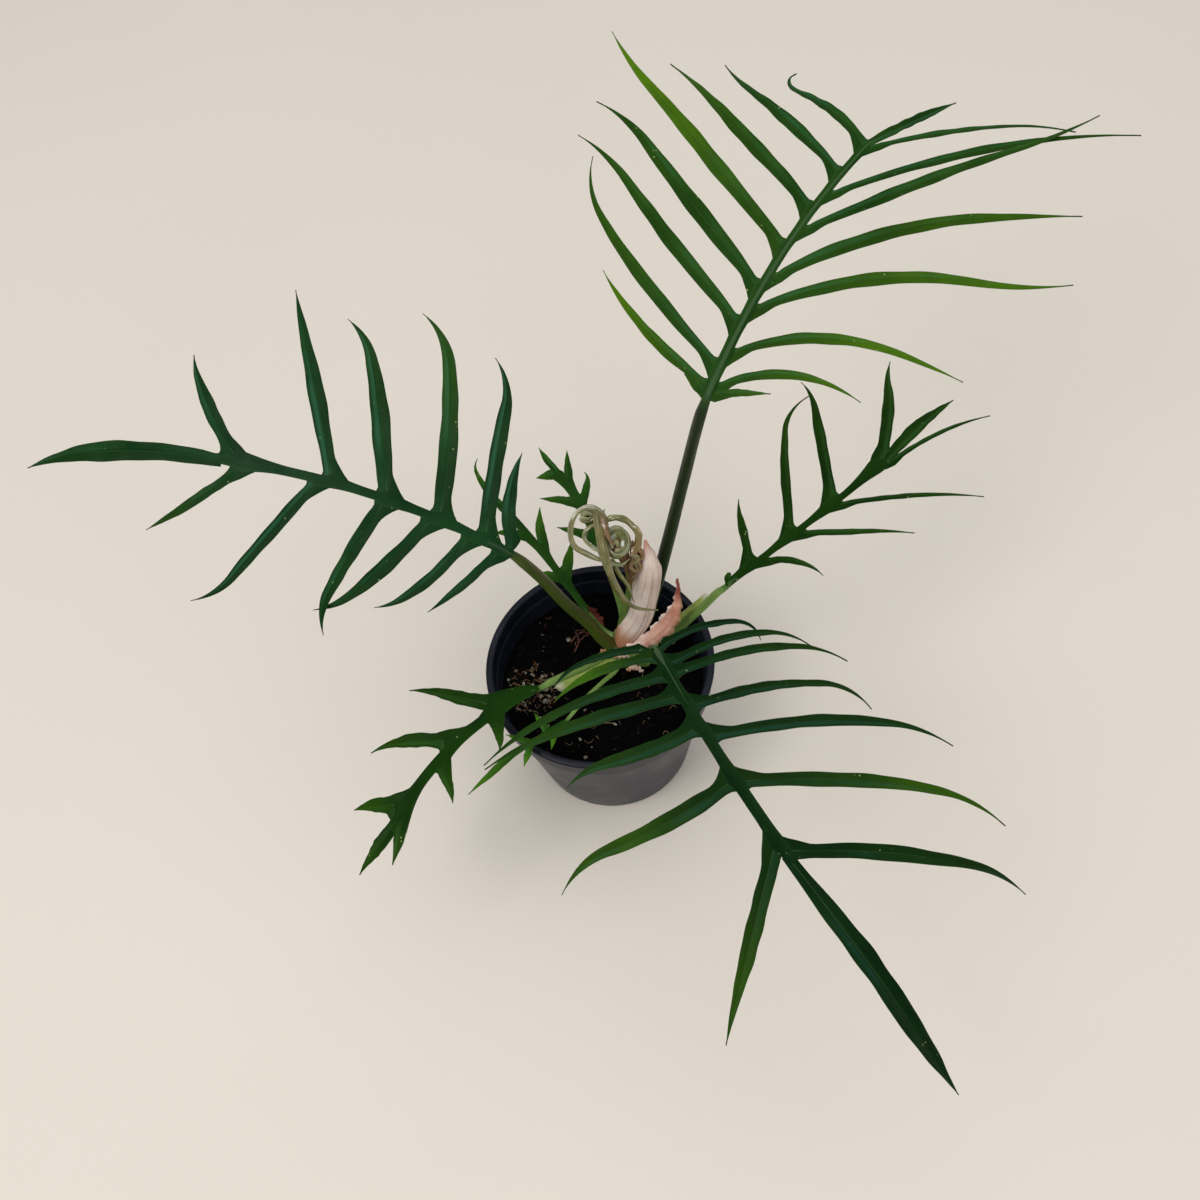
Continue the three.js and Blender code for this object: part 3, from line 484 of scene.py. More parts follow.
def fibre_look():
    look = Look("dried_fibre", Specular_IOR_Level=0.3)
    blotch = look.noise(300, 4, 0.6)
    look.colour = look.mix(look.spread(blotch), (98, 52, 42), (60, 32, 24))
    look.coat(look.value("tint"), (132, 112, 72))
    normal = look.bump(look.noise(900, 4, 0.7), 0.5, 0.0003)
    return look.finish(look.spread(blotch, 0.55, 0.8), normal)


def plastic_look():
    """Moulded nursery pot: near black inside and on the rim, grey on its outer wall, where painted sheen of
    reflected light and dust are laid on together in patches.
    """
    look = Look("nursery_plastic", Specular_IOR_Level=0.16)
    streaks = look.noise(1, 4, 0.6, look.stretched((60, 60, 9)))
    blotch = look.noise(32, 5, 0.65)
    # The outer wall's grey: painted sheen of the light the wall reflects, together with dust, in blotchy
    # patches
    sheen_and_dust = look.times(look.span(blotch, 0.3, 0.75), look.value("tint"))
    look.colour = look.mix(look.span(streaks, 0.35, 0.7), (18, 20, 28), (27, 30, 40))
    look.coat(look.times(sheen_and_dust, 0.85), (52, 56, 69))
    scuffs = look.noise(1, 5, 0.7, look.stretched((420, 420, 60)))
    look.coat(look.span(scuffs, 0.62, 0.75, 0.0, 0.3), (112, 112, 114))
    grain = look.bump(look.noise(1500, 3, 0.6), 0.15, 0.0001)
    return look.finish(look.spread(blotch, 0.28, 0.44), look.bump(streaks, 0.12, 0.0004, grain))


def soil_look(name, dark, brown, pale, pale_from):
    look = Look(name, Specular_IOR_Level=0.06)
    coarse = look.noise(240, 6, 0.7)
    fine = look.noise(1100, 4, 0.7)
    look.colour = look.mix(look.spread(coarse), dark, brown)
    look.coat(look.span(fine, pale_from, pale_from + 0.1, 0.0, 0.6), pale)
    crumbs = look.bump(look.cells(650), 0.8, 0.0012)
    return look.finish(look.spread(coarse, 0.7, 0.95), look.bump(fine, 0.6, 0.0006, crumbs))


def perlite_look():
    look = Look("perlite", Specular_IOR_Level=0.3, Subsurface_Weight=0.1, Subsurface_Scale=0.001)
    blotch = look.noise(900, 4, 0.7)
    look.colour = look.mix(look.span(blotch, 0.35, 0.7), (168, 162, 146), (104, 94, 78))
    look.coat(look.times(look.value("tint"), look.span(blotch, 0.3, 0.6)), (70, 56, 40))
    return look.finish(look.spread(blotch, 0.65, 0.9), look.bump(look.cells(1400), 0.7, 0.0006))


def stem_look():
    look = Look("stem_skin", Specular_IOR_Level=0.4)
    blotch = look.noise(180, 5, 0.65)
    rings = look.noise(1, 3, 0.6, look.stretched((90, 90, 700)))
    look.colour = look.mix(look.spread(blotch), (112, 118, 66), (148, 140, 92))
    look.coat(look.span(rings, 0.52, 0.66, 0.0, 0.75), (104, 70, 46))
    pores = look.bump(look.noise(800, 4, 0.7), 0.3, 0.0003)
    return look.finish(look.spread(blotch, 0.4, 0.62), look.bump(rings, 0.6, 0.0006, pores))


def floor_look():
    look = Look("floor", Specular_IOR_Level=0.2)
    look.colour = look.mix(look.spread(look.noise(3, 3, 0.5)), FLOOR_COLOUR, FLOOR_COLOUR_WARM)
    normal = look.bump(look.noise(900, 3, 0.6), 0.05, 0.0002)
    return look.finish(look.spread(look.noise(60, 4, 0.6), 0.7, 0.85), normal)


# Leaves. A comb is the lobes along one side: the stations on the rachis where they spring, then lists
# from the leaf's foot to its head, which each lobe reads from a smooth curve through them: length, width,
# the angle at which it leaves the rachis, the sweep by which that closes, and the hook of its last third.

def comb(stations, lengths, widths, angles, sweeps=(0,), hooks=(0,)):
    lists = dict(length=lengths, width=widths, angle=angles, sweep=sweeps, hook=hooks)
    lobes = []
    for i, station in enumerate(stations):
        place = i / (len(stations) - 1)
        lobes.append(dict(station=station, **{key: through(values, place) for key, values in lists.items()}))
    return lobes


def tip(length, width, angle, sweep, hook):
    return dict(length=length, width=width, angle=angle, sweep=sweep, hook=hook)


# A leaf has the points of its petiole, its heading in degrees from the X axis, the bend that turns it along
# the rachis, and its roll. Its rise, the half width of its wing and the radii of its petiole and midrib are
# given at the foot and at the head. Its lobes spring at an edge beside the rachis, have a neck as a share of
# their width with a flare beside it, and droop. Ears are short lobes behind the petiole's end, a shoulder
# widens the wing, and a sheath clasps the petiole.
LEAVES = {
    "leaf_back_right": dict(
        petiole=[[13, 17, 73], [24, 17, 82], [32, 23, 101], [41, 28, 132], [50, 28, 176], [60, 21, 235]],
        petiole_radius=[3.6, 2.5],
        heading=54, bend=-13, rise=[20, 0], roll=3, length=132,
        wing=[2.8, 2], midrib=[1.7, 0.9], droop=16, neck=0.58, flare=4.5, edge=2,
        ears=[11, 22],
        left=comb(
            [5, 14, 33, 50, 70, 91, 112, 130],
            lengths=[70, 118, 121, 125, 150, 108, 85, 60],
            widths=[4.5, 7, 5],
            angles=[74, 65, 63, 62, 63.5, 67, 68, 62],
            sweeps=[25, 18, 10, 6, 4, 5, -5, -35],
            hooks=[0, 30, -20, -20, 10, -5, 20, 110],
        ),
        right=comb(
            [5, 20, 40, 55, 80, 100, 130],
            lengths=[58, 91, 124, 126, 137, 134, 88],
            widths=[4, 6, 3],
            angles=[44, 47, 42, 33.5, 35, 34, 36],
            sweeps=[-60, -57, -43, -32, 2, -12, -8],
            hooks=[0, 13, 35, 10, 15, 0, -10],
        ),
        tip=tip(47, 5, -20, -8, 0),
    ),
    "leaf_left": dict(
        petiole=[[11, 16, 75], [4, 15, 79], [-1, 13, 96], [-10, 13, 119], [-18, 14, 142], [-28, 14, 165]],
        petiole_radius=[3.4, 2.5],
        heading=147, bend=17, rise=[22, 7], roll=-28, length=133,
        wing=[3.2, 3.4], midrib=[1.6, 0.8], droop=16, neck=0.82, flare=4.6, edge=2,
        left=comb(
            [5, 19, 37, 58, 88, 120],
            lengths=[40, 52, 65, 64, 76, 50],
            widths=[4, 6.5, 4.5],
            angles=[73, 78, 72, 75.5, 62, 46],
            sweeps=[10, 27, 18, -5, 0, 12],
            hooks=[0, 20, 25, -40, 40, 0],
        ),
        right=comb(
            [0, 13, 34, 58, 82, 123],
            lengths=[42, 78, 91, 80, 84, 50],
            widths=[6, 8, 6],
            angles=[50, 72, 78.5, 69, 66, 50],
            sweeps=[-35, -3, 22, 12, 7, -12],
            hooks=[0, 45, 40, 35, -3, -10],
        ),
        tip=tip(85, 8.5, -5, -25, -5),
    ),
    "leaf_front": dict(
        petiole=[[15, 12, 69.5], [19, 3, 73.5], [20.5, -6, 86], [21, -18, 109], [22, -37, 147],
                 [23, -58, 190]],
        petiole_radius=[3.1, 2.4],
        heading=-78, bend=17, rise=[16, -32], roll=-8, length=99,
        wing=[2.4, 3], midrib=[1.5, 0.8], droop=18, neck=0.8, flare=4, edge=2,
        left=comb(
            [0, 10, 15, 31, 45, 65, 95],
            lengths=[48, 61, 71, 73, 96, 109, 112],
            widths=[4, 4.5, 6],
            angles=[115, 108, 97, 87, 76.5, 64, 55],
            sweeps=[45, 25, 15],
            hooks=[85, 35, 25, 50, 20, 24, 20],
        ),
        right=comb(
            [0, 5, 15, 25, 40, 63, 90],
            lengths=[42, 43, 76, 76, 53, 74, 71],
            widths=[4.5, 5.5, 7],
            angles=[112, 106, 99, 99, 88, 86, 55],
            sweeps=[40, 35, 23, 5, -24, -20, 8],
            hooks=[25, 6, 5, 10, 43, 50, 5],
        ),
        tip=tip(115, 9.5, 3, 0, -5),
    ),
    "leaf_right": dict(
        petiole=[[16, 16.5, 70.5], [27, 14, 70.5], [37, 12, 74], [44, 12, 84], [52, 9, 100], [62, 3, 125]],
        petiole_radius=[2.6, 1.8],
        sheath=dict(end=0.78, half_width=3.4),
        heading=15, bend=13, rise=[27, 8], roll=-5, length=89,
        wing=[2.6, 2.8], midrib=[1.2, 0.7], droop=14, neck=0.9, flare=4.5, edge=2,
        ears=[6, 0],
        left=comb(
            [15, 37, 60, 87],
            lengths=[35, 77, 72, 60],
            widths=[4, 5.5],
            angles=[74, 63, 62, 34],
            sweeps=[0, 8, 0, -25],
            hooks=[10, 55, -25, 20],
        ),
        right=comb(
            [20, 40, 60, 88],
            lengths=[29, 49, 62, 52],
            widths=[3, 2.5],
            angles=[30, 41.5, 33.5, 2],
            sweeps=[-42, 5, -8, -20],
            hooks=[-10, 0],
        ),
        tip=tip(45, 6, 13, 15, -5),
    ),
    "leaf_front_left": dict(
        petiole=[[10.5, 15, 69.3], [3.5, 9.5, 71.3], [-5, 2, 78], [-15, -6, 87], [-29, -17, 100]],
        petiole_radius=[2.4, 1.7],
        sheath=dict(end=0.84, half_width=4.4),
        heading=-160, bend=31, rise=[8, -14], roll=5, length=90,
        wing=[3.6, 3.4], midrib=[1.1, 0.7], droop=12, neck=1.25, flare=6.5, edge=2,
        shoulder=dict(start=1, end=30, reach=3.4),
        left=comb(
            [25, 57, 85],
            lengths=[17, 21],
            widths=[5],
            angles=[76, 72, 28],
            sweeps=[20],
            hooks=[20, 0],
        ),
        right=comb(
            [21, 47, 82],
            lengths=[44, 39, 23],
            widths=[7, 6.5],
            angles=[56, 64, 75],
            sweeps=[0, 35, 30],
            hooks=[10, 0],
        ),
        tip=tip(26, 6.5, -5, 12, -10),
    ),
    "leaf_back_left_small": dict(
        petiole=[[12, 18, 68], [6, 22, 69], [2, 24, 76], [-1, 23, 90]],
        petiole_radius=[1.8, 1.4],
        heading=123, bend=4, rise=[45, 24], roll=-8, length=67,
        wing=[2.2, 2.6], midrib=[1, 0.6], droop=10, neck=1.2, flare=5, edge=1.5,
        left=comb([23, 48], lengths=[11, 14], widths=[4], angles=[45, 35], sweeps=[0, -20]),
        right=comb([22, 38], lengths=[17, 19], widths=[4.5], angles=[58, 30], sweeps=[10, -15]),
        tip=tip(25, 3, 2, 30, 45),
    ),
    "leaf_back_small": dict(
        petiole=[[14, 18, 69], [15, 27, 74], [14, 36, 84], [10, 50, 98]],
        petiole_radius=[1.7, 1.3],
        heading=96, bend=24, rise=[26, 8], roll=0, length=47,
        wing=[1.8, 2.2], midrib=[0.9, 0.6], droop=10, neck=1.15, flare=4, edge=1.5,
        left=comb([9, 28, 45], lengths=[17, 17, 9.5], widths=[4], angles=[58, 57, 62], sweeps=[5]),
        right=comb(
            [10, 27, 39],
            lengths=[12, 16, 17],
            widths=[3.5],
            angles=[40, 55, 33],
            sweeps=[0, 30, 0],
            hooks=[0, 40, 0],
        ),
        tip=tip(16, 3.5, 0, 15, 0),
    ),
    "leaf_low_small": dict(
        petiole=[[11.5, 11, 67.6], [7.5, 2, 68.5], [-0.5, -6.5, 73.5], [-10, -18, 82], [-20, -30, 88]],
        petiole_radius=[1.3, 0.9],
        heading=-153, bend=-3, rise=[4, 0], roll=0, length=28,
        wing=[1.4, 1.6], midrib=[0.8, 0.5], droop=8, neck=1.1, flare=3, edge=1,
        left=comb([1, 6, 20], lengths=[5, 10, 10], widths=[2, 3], angles=[70, 44, 42]),
        right=comb([10, 20], lengths=[11], widths=[2.5], angles=[95, 60]),
        tip=tip(27, 3.5, 9, 0, 0),
    ),
}

# How yellow-green the lobes are, from 0 to 1: down the left comb, down the right comb and the end lobe
TINTS = {
    "leaf_back_right": (
        [0.85, 0.25, 0.15, 0.15, 1.0, 0.3, 0.05, 0.0],
        [0.55, 0.95, 0.75, 0.4, 0.15, 0.1, 0.1],
        0.0,
    ),
    "leaf_left": ([0.05, 0.1, 0.1, 0.1, 0.1, 0.3], [0.0, 0.05, 0.35, 0.15, 0.05, 0.05], 0.1),
    "leaf_front": ([0.0, 0.1, 0.15, 0.1, 0.1, 0.6, 0.1], [0.05, 0.9, 0.25, 0.3, 0.25, 0.55, 0.5], 0.0),
    "leaf_right": ([0.2, 0.25, 0.15, 0.2], [0.1, 0.2, 0.15, 0.1], 0.1),
    "leaf_front_left": ([0.3, 0.3, 0.3], [0.2, 0.3, 0.4], 0.2),
    "leaf_back_left_small": ([0.6, 0.4], [0.7, 0.5], 0.4),
    "leaf_back_small": ([0.3, 0.4, 0.4], [0.3, 0.2, 0.2], 0.3),
    "leaf_low_small": ([0.8, 0.8, 0.8], [0.8, 0.8], 0.8),
}

LEFT, RIGHT = 1, -1
BLADE_SLOT, STALK_SLOT, SHEATH_SLOT = range(3)
RACHIS_STEPS = 40

# Blade: its thickness, its lift off the rachis's line, its fold, and the depths of its pleats and midrib
BLADE = 0.55
LOBE_LIFT = 0.08
FOLD = 0.34
PLEAT_DEPTH = 0.1
MIDRIB_DEPTH = 0.18
MIDRIB_REACH = 0.07
RIPPLE = 0.25
RIPPLES = 6.5

# Along a lobe: its widest place and where its hook sets in, as shares of it, and how late it droops
WIDEST = 0.36
HOOK_START = 0.7
DROOP_POWER = 1.5

# A lobe's outline: the length from which its webs and fillets are full, the size and number of the waves of
# its edges, its twist, and its least half width
FULL_LENGTH = 30
EDGE_WAVES = ((0.06, 1.9), (0.035, 4.7))
TWIST = radians(9)
TWIST_TURNS = 1.3
LEAST_HALF_WIDTH = 0.12

# A lobe's root on the rachis, as a share of the edge and a widening, and the rib below its blade: the half
# width from which it has one, its depth at the tip, how much deeper it starts and how much it thins
ROOT_SHARE = 0.3
ROOT_WIDER = 0.6
KEEL_FROM = 1.4
KEEL_DEPTH = 0.25
KEEL_DEEPER = 0.2
KEEL_THINNING = 0.85

# At a lobe's neck: the fillets' width and reach on the side of the leaf's foot and of its head, the reach of
# the last lobes' web, and what the side at the foot may reach, as a start and a slope past the lobe's station
NECK_DISTANCE = 7
NEAR_FILLET = (1.15, 10)
FAR_FILLET = (0.3, 4)
FILLET_POWER = 2.2
LAST_REACH = 11
LAST_SHARE = 0.88
EAR_START = 0.6
EAR_SLOPE = 0.9
EAR = dict(station=2.4, width=3.3, angle=68, sweep=0, hook=0, tint=0.4)

# The wing along the rachis: its share of the leaf's own wing, how far its webs fall past a lobe, and its end
WING_SHARE = 0.8
WIDEST_NECK = 1.3
WEB_FALL = 3.5
WEB_POWER = 1.7
WING_COLUMNS = np.array([-1, -0.8, -0.5, -0.2, 0.2, 0.5, 0.8, 1])
WING_FOOT = 0.55
WING_END = 0.4
WING_ROW = 1.1
WING_RISE = 0.12
WING_ALONG = 0.15
TIP_OVERLAP = 4

# Before and after the petiole's end: where its radius, its sinking and its colour become the rib's
STALK_JOINS = ((-10, 6), (-9, 0), (-6, 5))
STALK_ROWS = 170
PETIOLE_ROWS = 60
RIB_THINNING = 0.85
FOOT_SWELL = 0.22

SHEATH_ROWS = 34
SHEATH_OUTWARD = (-0.2, -0.4, 1)
SHEATH_ARC = 118
SHEATH_THICKNESS = 0.6
SHEATH_RUFFLE = 0.2

# Places across a lobe where its section is drawn, closer about the midrib
SECTION = np.array([-1, -0.9, -0.75, -0.58, -0.4, -0.22, -0.08, 0, 0.08, 0.22, 0.4, 0.58, 0.75, 0.9, 1])
ROW_LENGTH = 2.0


def frame_at(leaf, fraction):
    """Forward, left and up of a leaf's rachis at a fraction of its length."""
    heading = radians(leaf["heading"] + leaf["bend"] * fraction)
    rise = radians(lerp(*leaf["rise"], fraction))
    roll = radians(leaf["roll"])
    forward = np.array([cos(rise) * cos(heading), cos(rise) * sin(heading), sin(rise)])
    level = np.array([-sin(heading), cos(heading), 0])
    upright = np.cross(forward, level)
    return forward, level * cos(roll) + upright * sin(roll), upright * cos(roll) - level * sin(roll)


def rachis_points(leaf):
    points = [np.array(leaf["petiole"][-1], float)]
    for i in range(RACHIS_STEPS):
        forward = frame_at(leaf, (i + 0.5) / RACHIS_STEPS)[0]
        points.append(points[-1] + forward * leaf["length"] / RACHIS_STEPS)
    return np.array(points)


def rachis_at(leaf, points, station):
    place = min(max(station / leaf["length"], 0), 1) * RACHIS_STEPS
    i = min(int(place), RACHIS_STEPS - 1)
    return lerp(points[i], points[i + 1], place - i)


def lobe_line(leaf, lobe, start, axes, side, steps):
    """Points and directions down the middle of a lobe."""
    forward, left, up = axes
    place = ((np.arange(steps) + 0.5) / steps)[:, None]
    hooked = lobe["hook"] * np.maximum(0, (place - HOOK_START) / (1 - HOOK_START))
    turn = np.radians(lobe["angle"] - lobe["sweep"] * place - hooked)
    fall = np.radians(-leaf["droop"] * place ** DROOP_POWER)
    flat = np.cos(turn) * forward + side * np.sin(turn) * left
    directions = np.cos(fall) * flat + np.sin(fall) * up
    line = np.vstack([start, start + np.cumsum(directions, axis=0) * lobe["length"] / steps])
    middle = (directions[1:] + directions[:-1]) / 2
    return line, unit(np.vstack([directions[:1], middle, directions[-1:]]))


def lobe_share(place, neck, taper, widest):
    """Half width along a lobe, as a share of its widest: a neck, a strap and a drawn-out point."""
    rising = neck + (1 - neck) * np.sin(0.5 * pi * np.clip(place / widest, 0, 1))
    falling = (1 - np.clip((place - widest) / (1 - widest), 0, 1) ** taper) ** 1.15
    return np.where(place < widest, rising, falling)


def fillet(distance, sizes, leaf):
    """How much wider one edge of a lobe is near the rachis."""
    width, reach = sizes
    return width * leaf["flare"] * np.clip(1 - distance / reach, 0, 1) ** FILLET_POWER


def lobe_halves(leaf, lobe, side, edge, style, place, phase):
    """The half widths of a lobe along it, on its two sides."""
    half_width = lobe["width"] / 2
    neck = leaf["neck"] if edge > 0 else min(WING_SHARE * leaf["wing"][1] / half_width, WIDEST_NECK)
    half = half_width * lobe_share(place, neck, style["taper"], WIDEST if edge > 0 else style["end_widest"])
    halves = []
    for i in (0, 1):
        waves = 1
        for (size, number), start in zip(EDGE_WAVES, phase[i:i + 3:2]):
            waves = waves + size * np.sin(2 * pi * number * place + start)
        halves.append(half * waves)
    halves = np.column_stack(halves)
    if edge > 0:
        foot_side, head_side = (1, 0) if side == LEFT else (0, 1)
        far = (style["last"][head_side], LAST_REACH) if is_last(leaf, lobe) else FAR_FILLET
        distance = place * lobe["length"]
        short = min(1, lobe["length"] / FULL_LENGTH)
        limit = lobe["station"] + EAR_START + EAR_SLOPE * distance
        halves[:, foot_side] += short * fillet(distance, NEAR_FILLET, leaf)
        halves[:, foot_side] = np.minimum(halves[:, foot_side], limit)
        halves[:, head_side] += short * fillet(distance, far, leaf)
    return halves


def lobe_lift(half, place, pleats, start):
    """The height of a lobe's section above its middle line: fold, pleats, midrib and rippled edges."""
    half, place = half[:, None], place[:, None]
    out = np.abs(SECTION)
    narrow = np.minimum(1, half / 2.5)
    fold = FOLD * smoothstep(0, 0.15, place) * half * (out - 0.45 * out ** 3)
    ridges = PLEAT_DEPTH * (np.cos(2 * pi * pleats * out) - 1) * narrow
    ridges = ridges * (1 - out ** 4) * smoothstep(0.02, 0.2, place) * smoothstep(1.0, 0.8, place)
    groove = -MIDRIB_DEPTH * np.exp(-(SECTION / MIDRIB_REACH) ** 2) * np.minimum(1, half / 2)
    ripple = RIPPLE * out ** 3 * np.sin(2 * pi * (RIPPLES * place + 0.2 * np.sign(SECTION)) + start)
    ripple = ripple * narrow * smoothstep(0.05, 0.3, place)
    return LOBE_LIFT + fold + ridges + groove + ripple


def add_lobe(maker, leaf, points, lobe, side, edge, style, random):
    """One lobe, or the end lobe where edge is 0; returns its middle line."""
    axes = frame_at(leaf, min(lobe["station"] / leaf["length"], 1))
    forward, left, up = axes
    axis = rachis_at(leaf, points, lobe["station"])
    steps = max(12, round(lobe["length"] / ROW_LENGTH))
    line, directions = lobe_line(leaf, lobe, axis + left * side * edge, axes, side, steps)
    place = np.linspace(0, 1, steps + 1)
    phase = random.random(8) * 2 * pi
    halves = lobe_halves(leaf, lobe, side, edge, style, place, phase)
    twist = (TWIST * np.sin(pi * TWIST_TURNS * place + phase[4]) * smoothstep(0.1, 0.5, place))[:, None]
    across, normals = turned(*flanks(directions, up), twist)
    if edge > 0:
        near = np.clip(1 - place * lobe["length"] / NECK_DISTANCE, 0, 1)
        backward = -forward * side
        across = unit(lerp(across, backward, smoothstep(0, 1, near)[:, None]))
        first = axis + left * side * edge * ROOT_SHARE
        first_across, first_halves = backward, halves[0] + ROOT_WIDER
    else:
        first = rachis_at(leaf, points, leaf["length"] - TIP_OVERLAP)
        first_across, first_halves = left, np.full(2, WING_SHARE * leaf["wing"][1])
    line = np.vstack([first, line])
    across = np.vstack([first_across, across])
    normals = np.vstack([up, normals])
    halves = np.maximum(np.vstack([first_halves, halves]), LEAST_HALF_WIDTH)
    place = np.concatenate([[0], place])
    lift = lobe_lift(halves.mean(axis=1), place, style["pleats"], phase[5])
    reach = np.where(SECTION > 0, halves[:, [1]], halves[:, [0]]) * SECTION
    grid = swept(line, across, reach, normals, lift)
    add_sheet(maker, grid, BLADE, BLADE_SLOT, place, SECTION * -side, lobe["tint"])
    place = place[1::2]
    keel = line[1::2] - normals[1::2] * (KEEL_DEPTH + KEEL_DEEPER * (1 - place[:, None]))
    if len(keel) > 3 and lobe["width"] / 2 > KEEL_FROM:
        add_tube(maker, keel, lobe["width"] / 12 * (1 - KEEL_THINNING * place), 6, STALK_SLOT, tint=0.85)
    return line[1:]


def is_last(leaf, lobe):
    return lobe["station"] > LAST_SHARE * leaf["length"]


def web_reach(leaf, side, style, station):
    """How far the blade between two lobes of one side widens towards the lobe nearer the leaf's head."""
    height, length = style["web"]
    last = style["last"][0 if side == "left" else 1]
    reach = 0
    for lobe in leaf[side]:
        more = 1.5 * last if is_last(leaf, lobe) and last > 0.5 else 1
        ahead = lobe["station"] - station
        share = 1 - ahead / (length * more ** 0.5) if ahead > 0 else 1 + ahead / WEB_FALL
        reach = max(reach, height * more * min(1, lobe["length"] / FULL_LENGTH) * max(share, 0) ** WEB_POWER)
    return reach


def shoulder_reach(leaf, station):
    """How far a shoulder widens the wing at a station."""
    if "shoulder" not in leaf:
        return 0
    shoulder = leaf["shoulder"]
    share = (station - shoulder["start"]) / (shoulder["end"] - shoulder["start"])
    return shoulder["reach"] * sin(pi * share) if 0 < share < 1 else 0


def add_wing(maker, leaf, points, style):
    """The narrow wing of blade along the rachis, with its webs towards the lobes."""
    rows = max(40, round(leaf["length"] / WING_ROW))
    grid = []
    for share in np.linspace(0, 1, rows):
        _, left, up = frame_at(leaf, share)
        station = share * leaf["length"]
        half = style.get("wing_share", WING_SHARE) * lerp(*leaf["wing"], share)
        half *= lerp(WING_FOOT, 1, smoothstep(0, 0.05, share))
        ending = 1 - WING_END * smoothstep(0.93, 1, share)
        reach_left = half + web_reach(leaf, "left", style, station)
        reach_right = half + web_reach(leaf, "right", style, station) + shoulder_reach(leaf, station)
        reach = WING_COLUMNS * ending * np.where(WING_COLUMNS > 0, reach_left, reach_right)
        centre = rachis_at(leaf, points, station)
        grid.append(centre + np.outer(reach, left) + np.outer(WING_RISE * np.abs(reach), up))
    add_sheet(maker, np.array(grid), BLADE, BLADE_SLOT, WING_ALONG, 0.06 * WING_COLUMNS - 0.16)


def leaf_stalk(leaf, points, tip_line, style):
    """One run of points, radii and rib shares: petiole, rib on the rachis and midrib of the end lobe."""
    stops = style.get("petiole_foot", []) + leaf["petiole"][len(style.get("petiole_foot", [])):]
    petiole = smooth_path(stops, PETIOLE_ROWS)
    route = np.vstack([np.array(stops, float), points[4::4], tip_line[3::6]])
    if "approach" in style:
        last = len(leaf["petiole"]) - 1
        route = np.insert(route, last, lerp(route[last], route[last - 1], style["approach"]), axis=0)
    whole = smooth_path(route, STALK_ROWS)
    distance = distances(whole)
    foot = distances(petiole)[-1]
    first, last = leaf["petiole_radius"]
    thick, thin = leaf["midrib"]
    blade_place = np.clip((distance - foot) / leaf["length"], 0, 1)
    beyond = distance - foot - leaf["length"]
    end_place = np.clip(beyond / max(beyond[-1], 1), 0, 1)
    stalk = lerp(first, last, np.clip(distance / foot, 0, 1)) * (1 + FOOT_SWELL * np.exp(-distance / 5))
    rib = lerp(thick, thin, blade_place) * (1 - RIB_THINNING * end_place)
    thinned, sunk, ribbed = (smoothstep(foot + start, foot + end, distance) for start, end in STALK_JOINS)
    radii = lerp(stalk, rib, thinned)
    below = style["sink"] * radii * sunk
    ups = np.array([frame_at(leaf, share)[2] for share in blade_place])
    return whole - ups * below[:, None], radii, ribbed


def add_sheath(maker, leaf, style):
    """The green sheath at a petiole's foot: two thin ruffled flanges with a whitish end."""
    sheath = leaf["sheath"]
    path = smooth_path(leaf["petiole"], 101)
    spots = np.linspace(style["sheath_start"], sheath["end"], SHEATH_ROWS)
    middle = looked_up(spots * 100, np.arange(101), path) + style["sheath_shift"]
    place = np.linspace(0, 1, SHEATH_ROWS)
    half = sheath["half_width"] * (1 - 0.25 * place) * (1 - 0.7 * smoothstep(0.88, 1, place))
    add_trough(maker, middle, half, SHEATH_OUTWARD, SHEATH_ARC, SHEATH_THICKNESS, SHEATH_RUFFLE, SHEATH_SLOT,
               flatness=0.9, end_tint=1.0)


def add_trough(maker, middle, half_widths, outward, arc, thickness, ruffle, slot=0, turns=7, columns=21,
               flatness=1.0, end_tint=0.0):
    """A rounded trough along middle points, bulging outward, its edges ruffled."""
    spread = radians(arc)
    directions = unit(np.gradient(middle, axis=0))
    across, normals = flanks(directions, np.array(outward))
    radius = half_widths[:, None] / max(sin(min(spread, pi / 2)), 0.2)
    place = np.linspace(0, 1, len(middle))
    cross = np.linspace(-1, 1, columns)
    rows = place[:, None]
    wave = np.sin(2 * pi * turns * rows + 1.7 * np.sign(cross)) + 0.5 * np.sin(2 * pi * 2.3 * turns * rows)
    reach = radius + ruffle * np.abs(cross) ** 3 * wave
    turn = spread * cross
    rise = flatness * (reach * np.cos(turn) - radius)
    grid = swept(middle, across, reach * np.sin(turn), normals, rise)
    add_sheet(maker, grid, thickness, slot, place, cross, end_tint * smoothstep(0.86, 0.97, place))


def make_leaf(name, leaf, style, seed):
    random = np.random.default_rng(seed)
    maker = Maker()
    points = rachis_points(leaf)
    add_wing(maker, leaf, points, style)
    left_tints, right_tints, tip_tint = TINTS[name]
    for side, key, tints in (LEFT, "left", left_tints), (RIGHT, "right", right_tints):
        for lobe, tint in zip(leaf[key], tints):
            add_lobe(maker, leaf, points, dict(lobe, tint=tint), side, leaf["edge"], style, random)
    for side, length in zip((LEFT, RIGHT), leaf.get("ears", ())):
        if length > 0:
            ear = dict(EAR, length=length * style.get("ear_share", 1))
            add_lobe(maker, leaf, points, ear, side, leaf["edge"], style, random)
    end = dict(leaf["tip"], station=leaf["length"], tint=tip_tint)
    tip_line = add_lobe(maker, leaf, points, end, LEFT, 0, style, random)
    path, radii, ribbed = leaf_stalk(leaf, points, tip_line, style)
    add_tube(maker, path, radii, 18, STALK_SLOT, flat=0.92, groove=0.1, tint=ribbed)
    if "sheath" in leaf:
        add_sheath(maker, leaf, style)
    return maker.make(name + "_grown", style["looks"])


# The newest leaf, still rolled: a scroll at its head, ribbons round it and loops that have sprung free.
# Its routes are in the head's own plane: mm to its side, up its slope and out of its face.

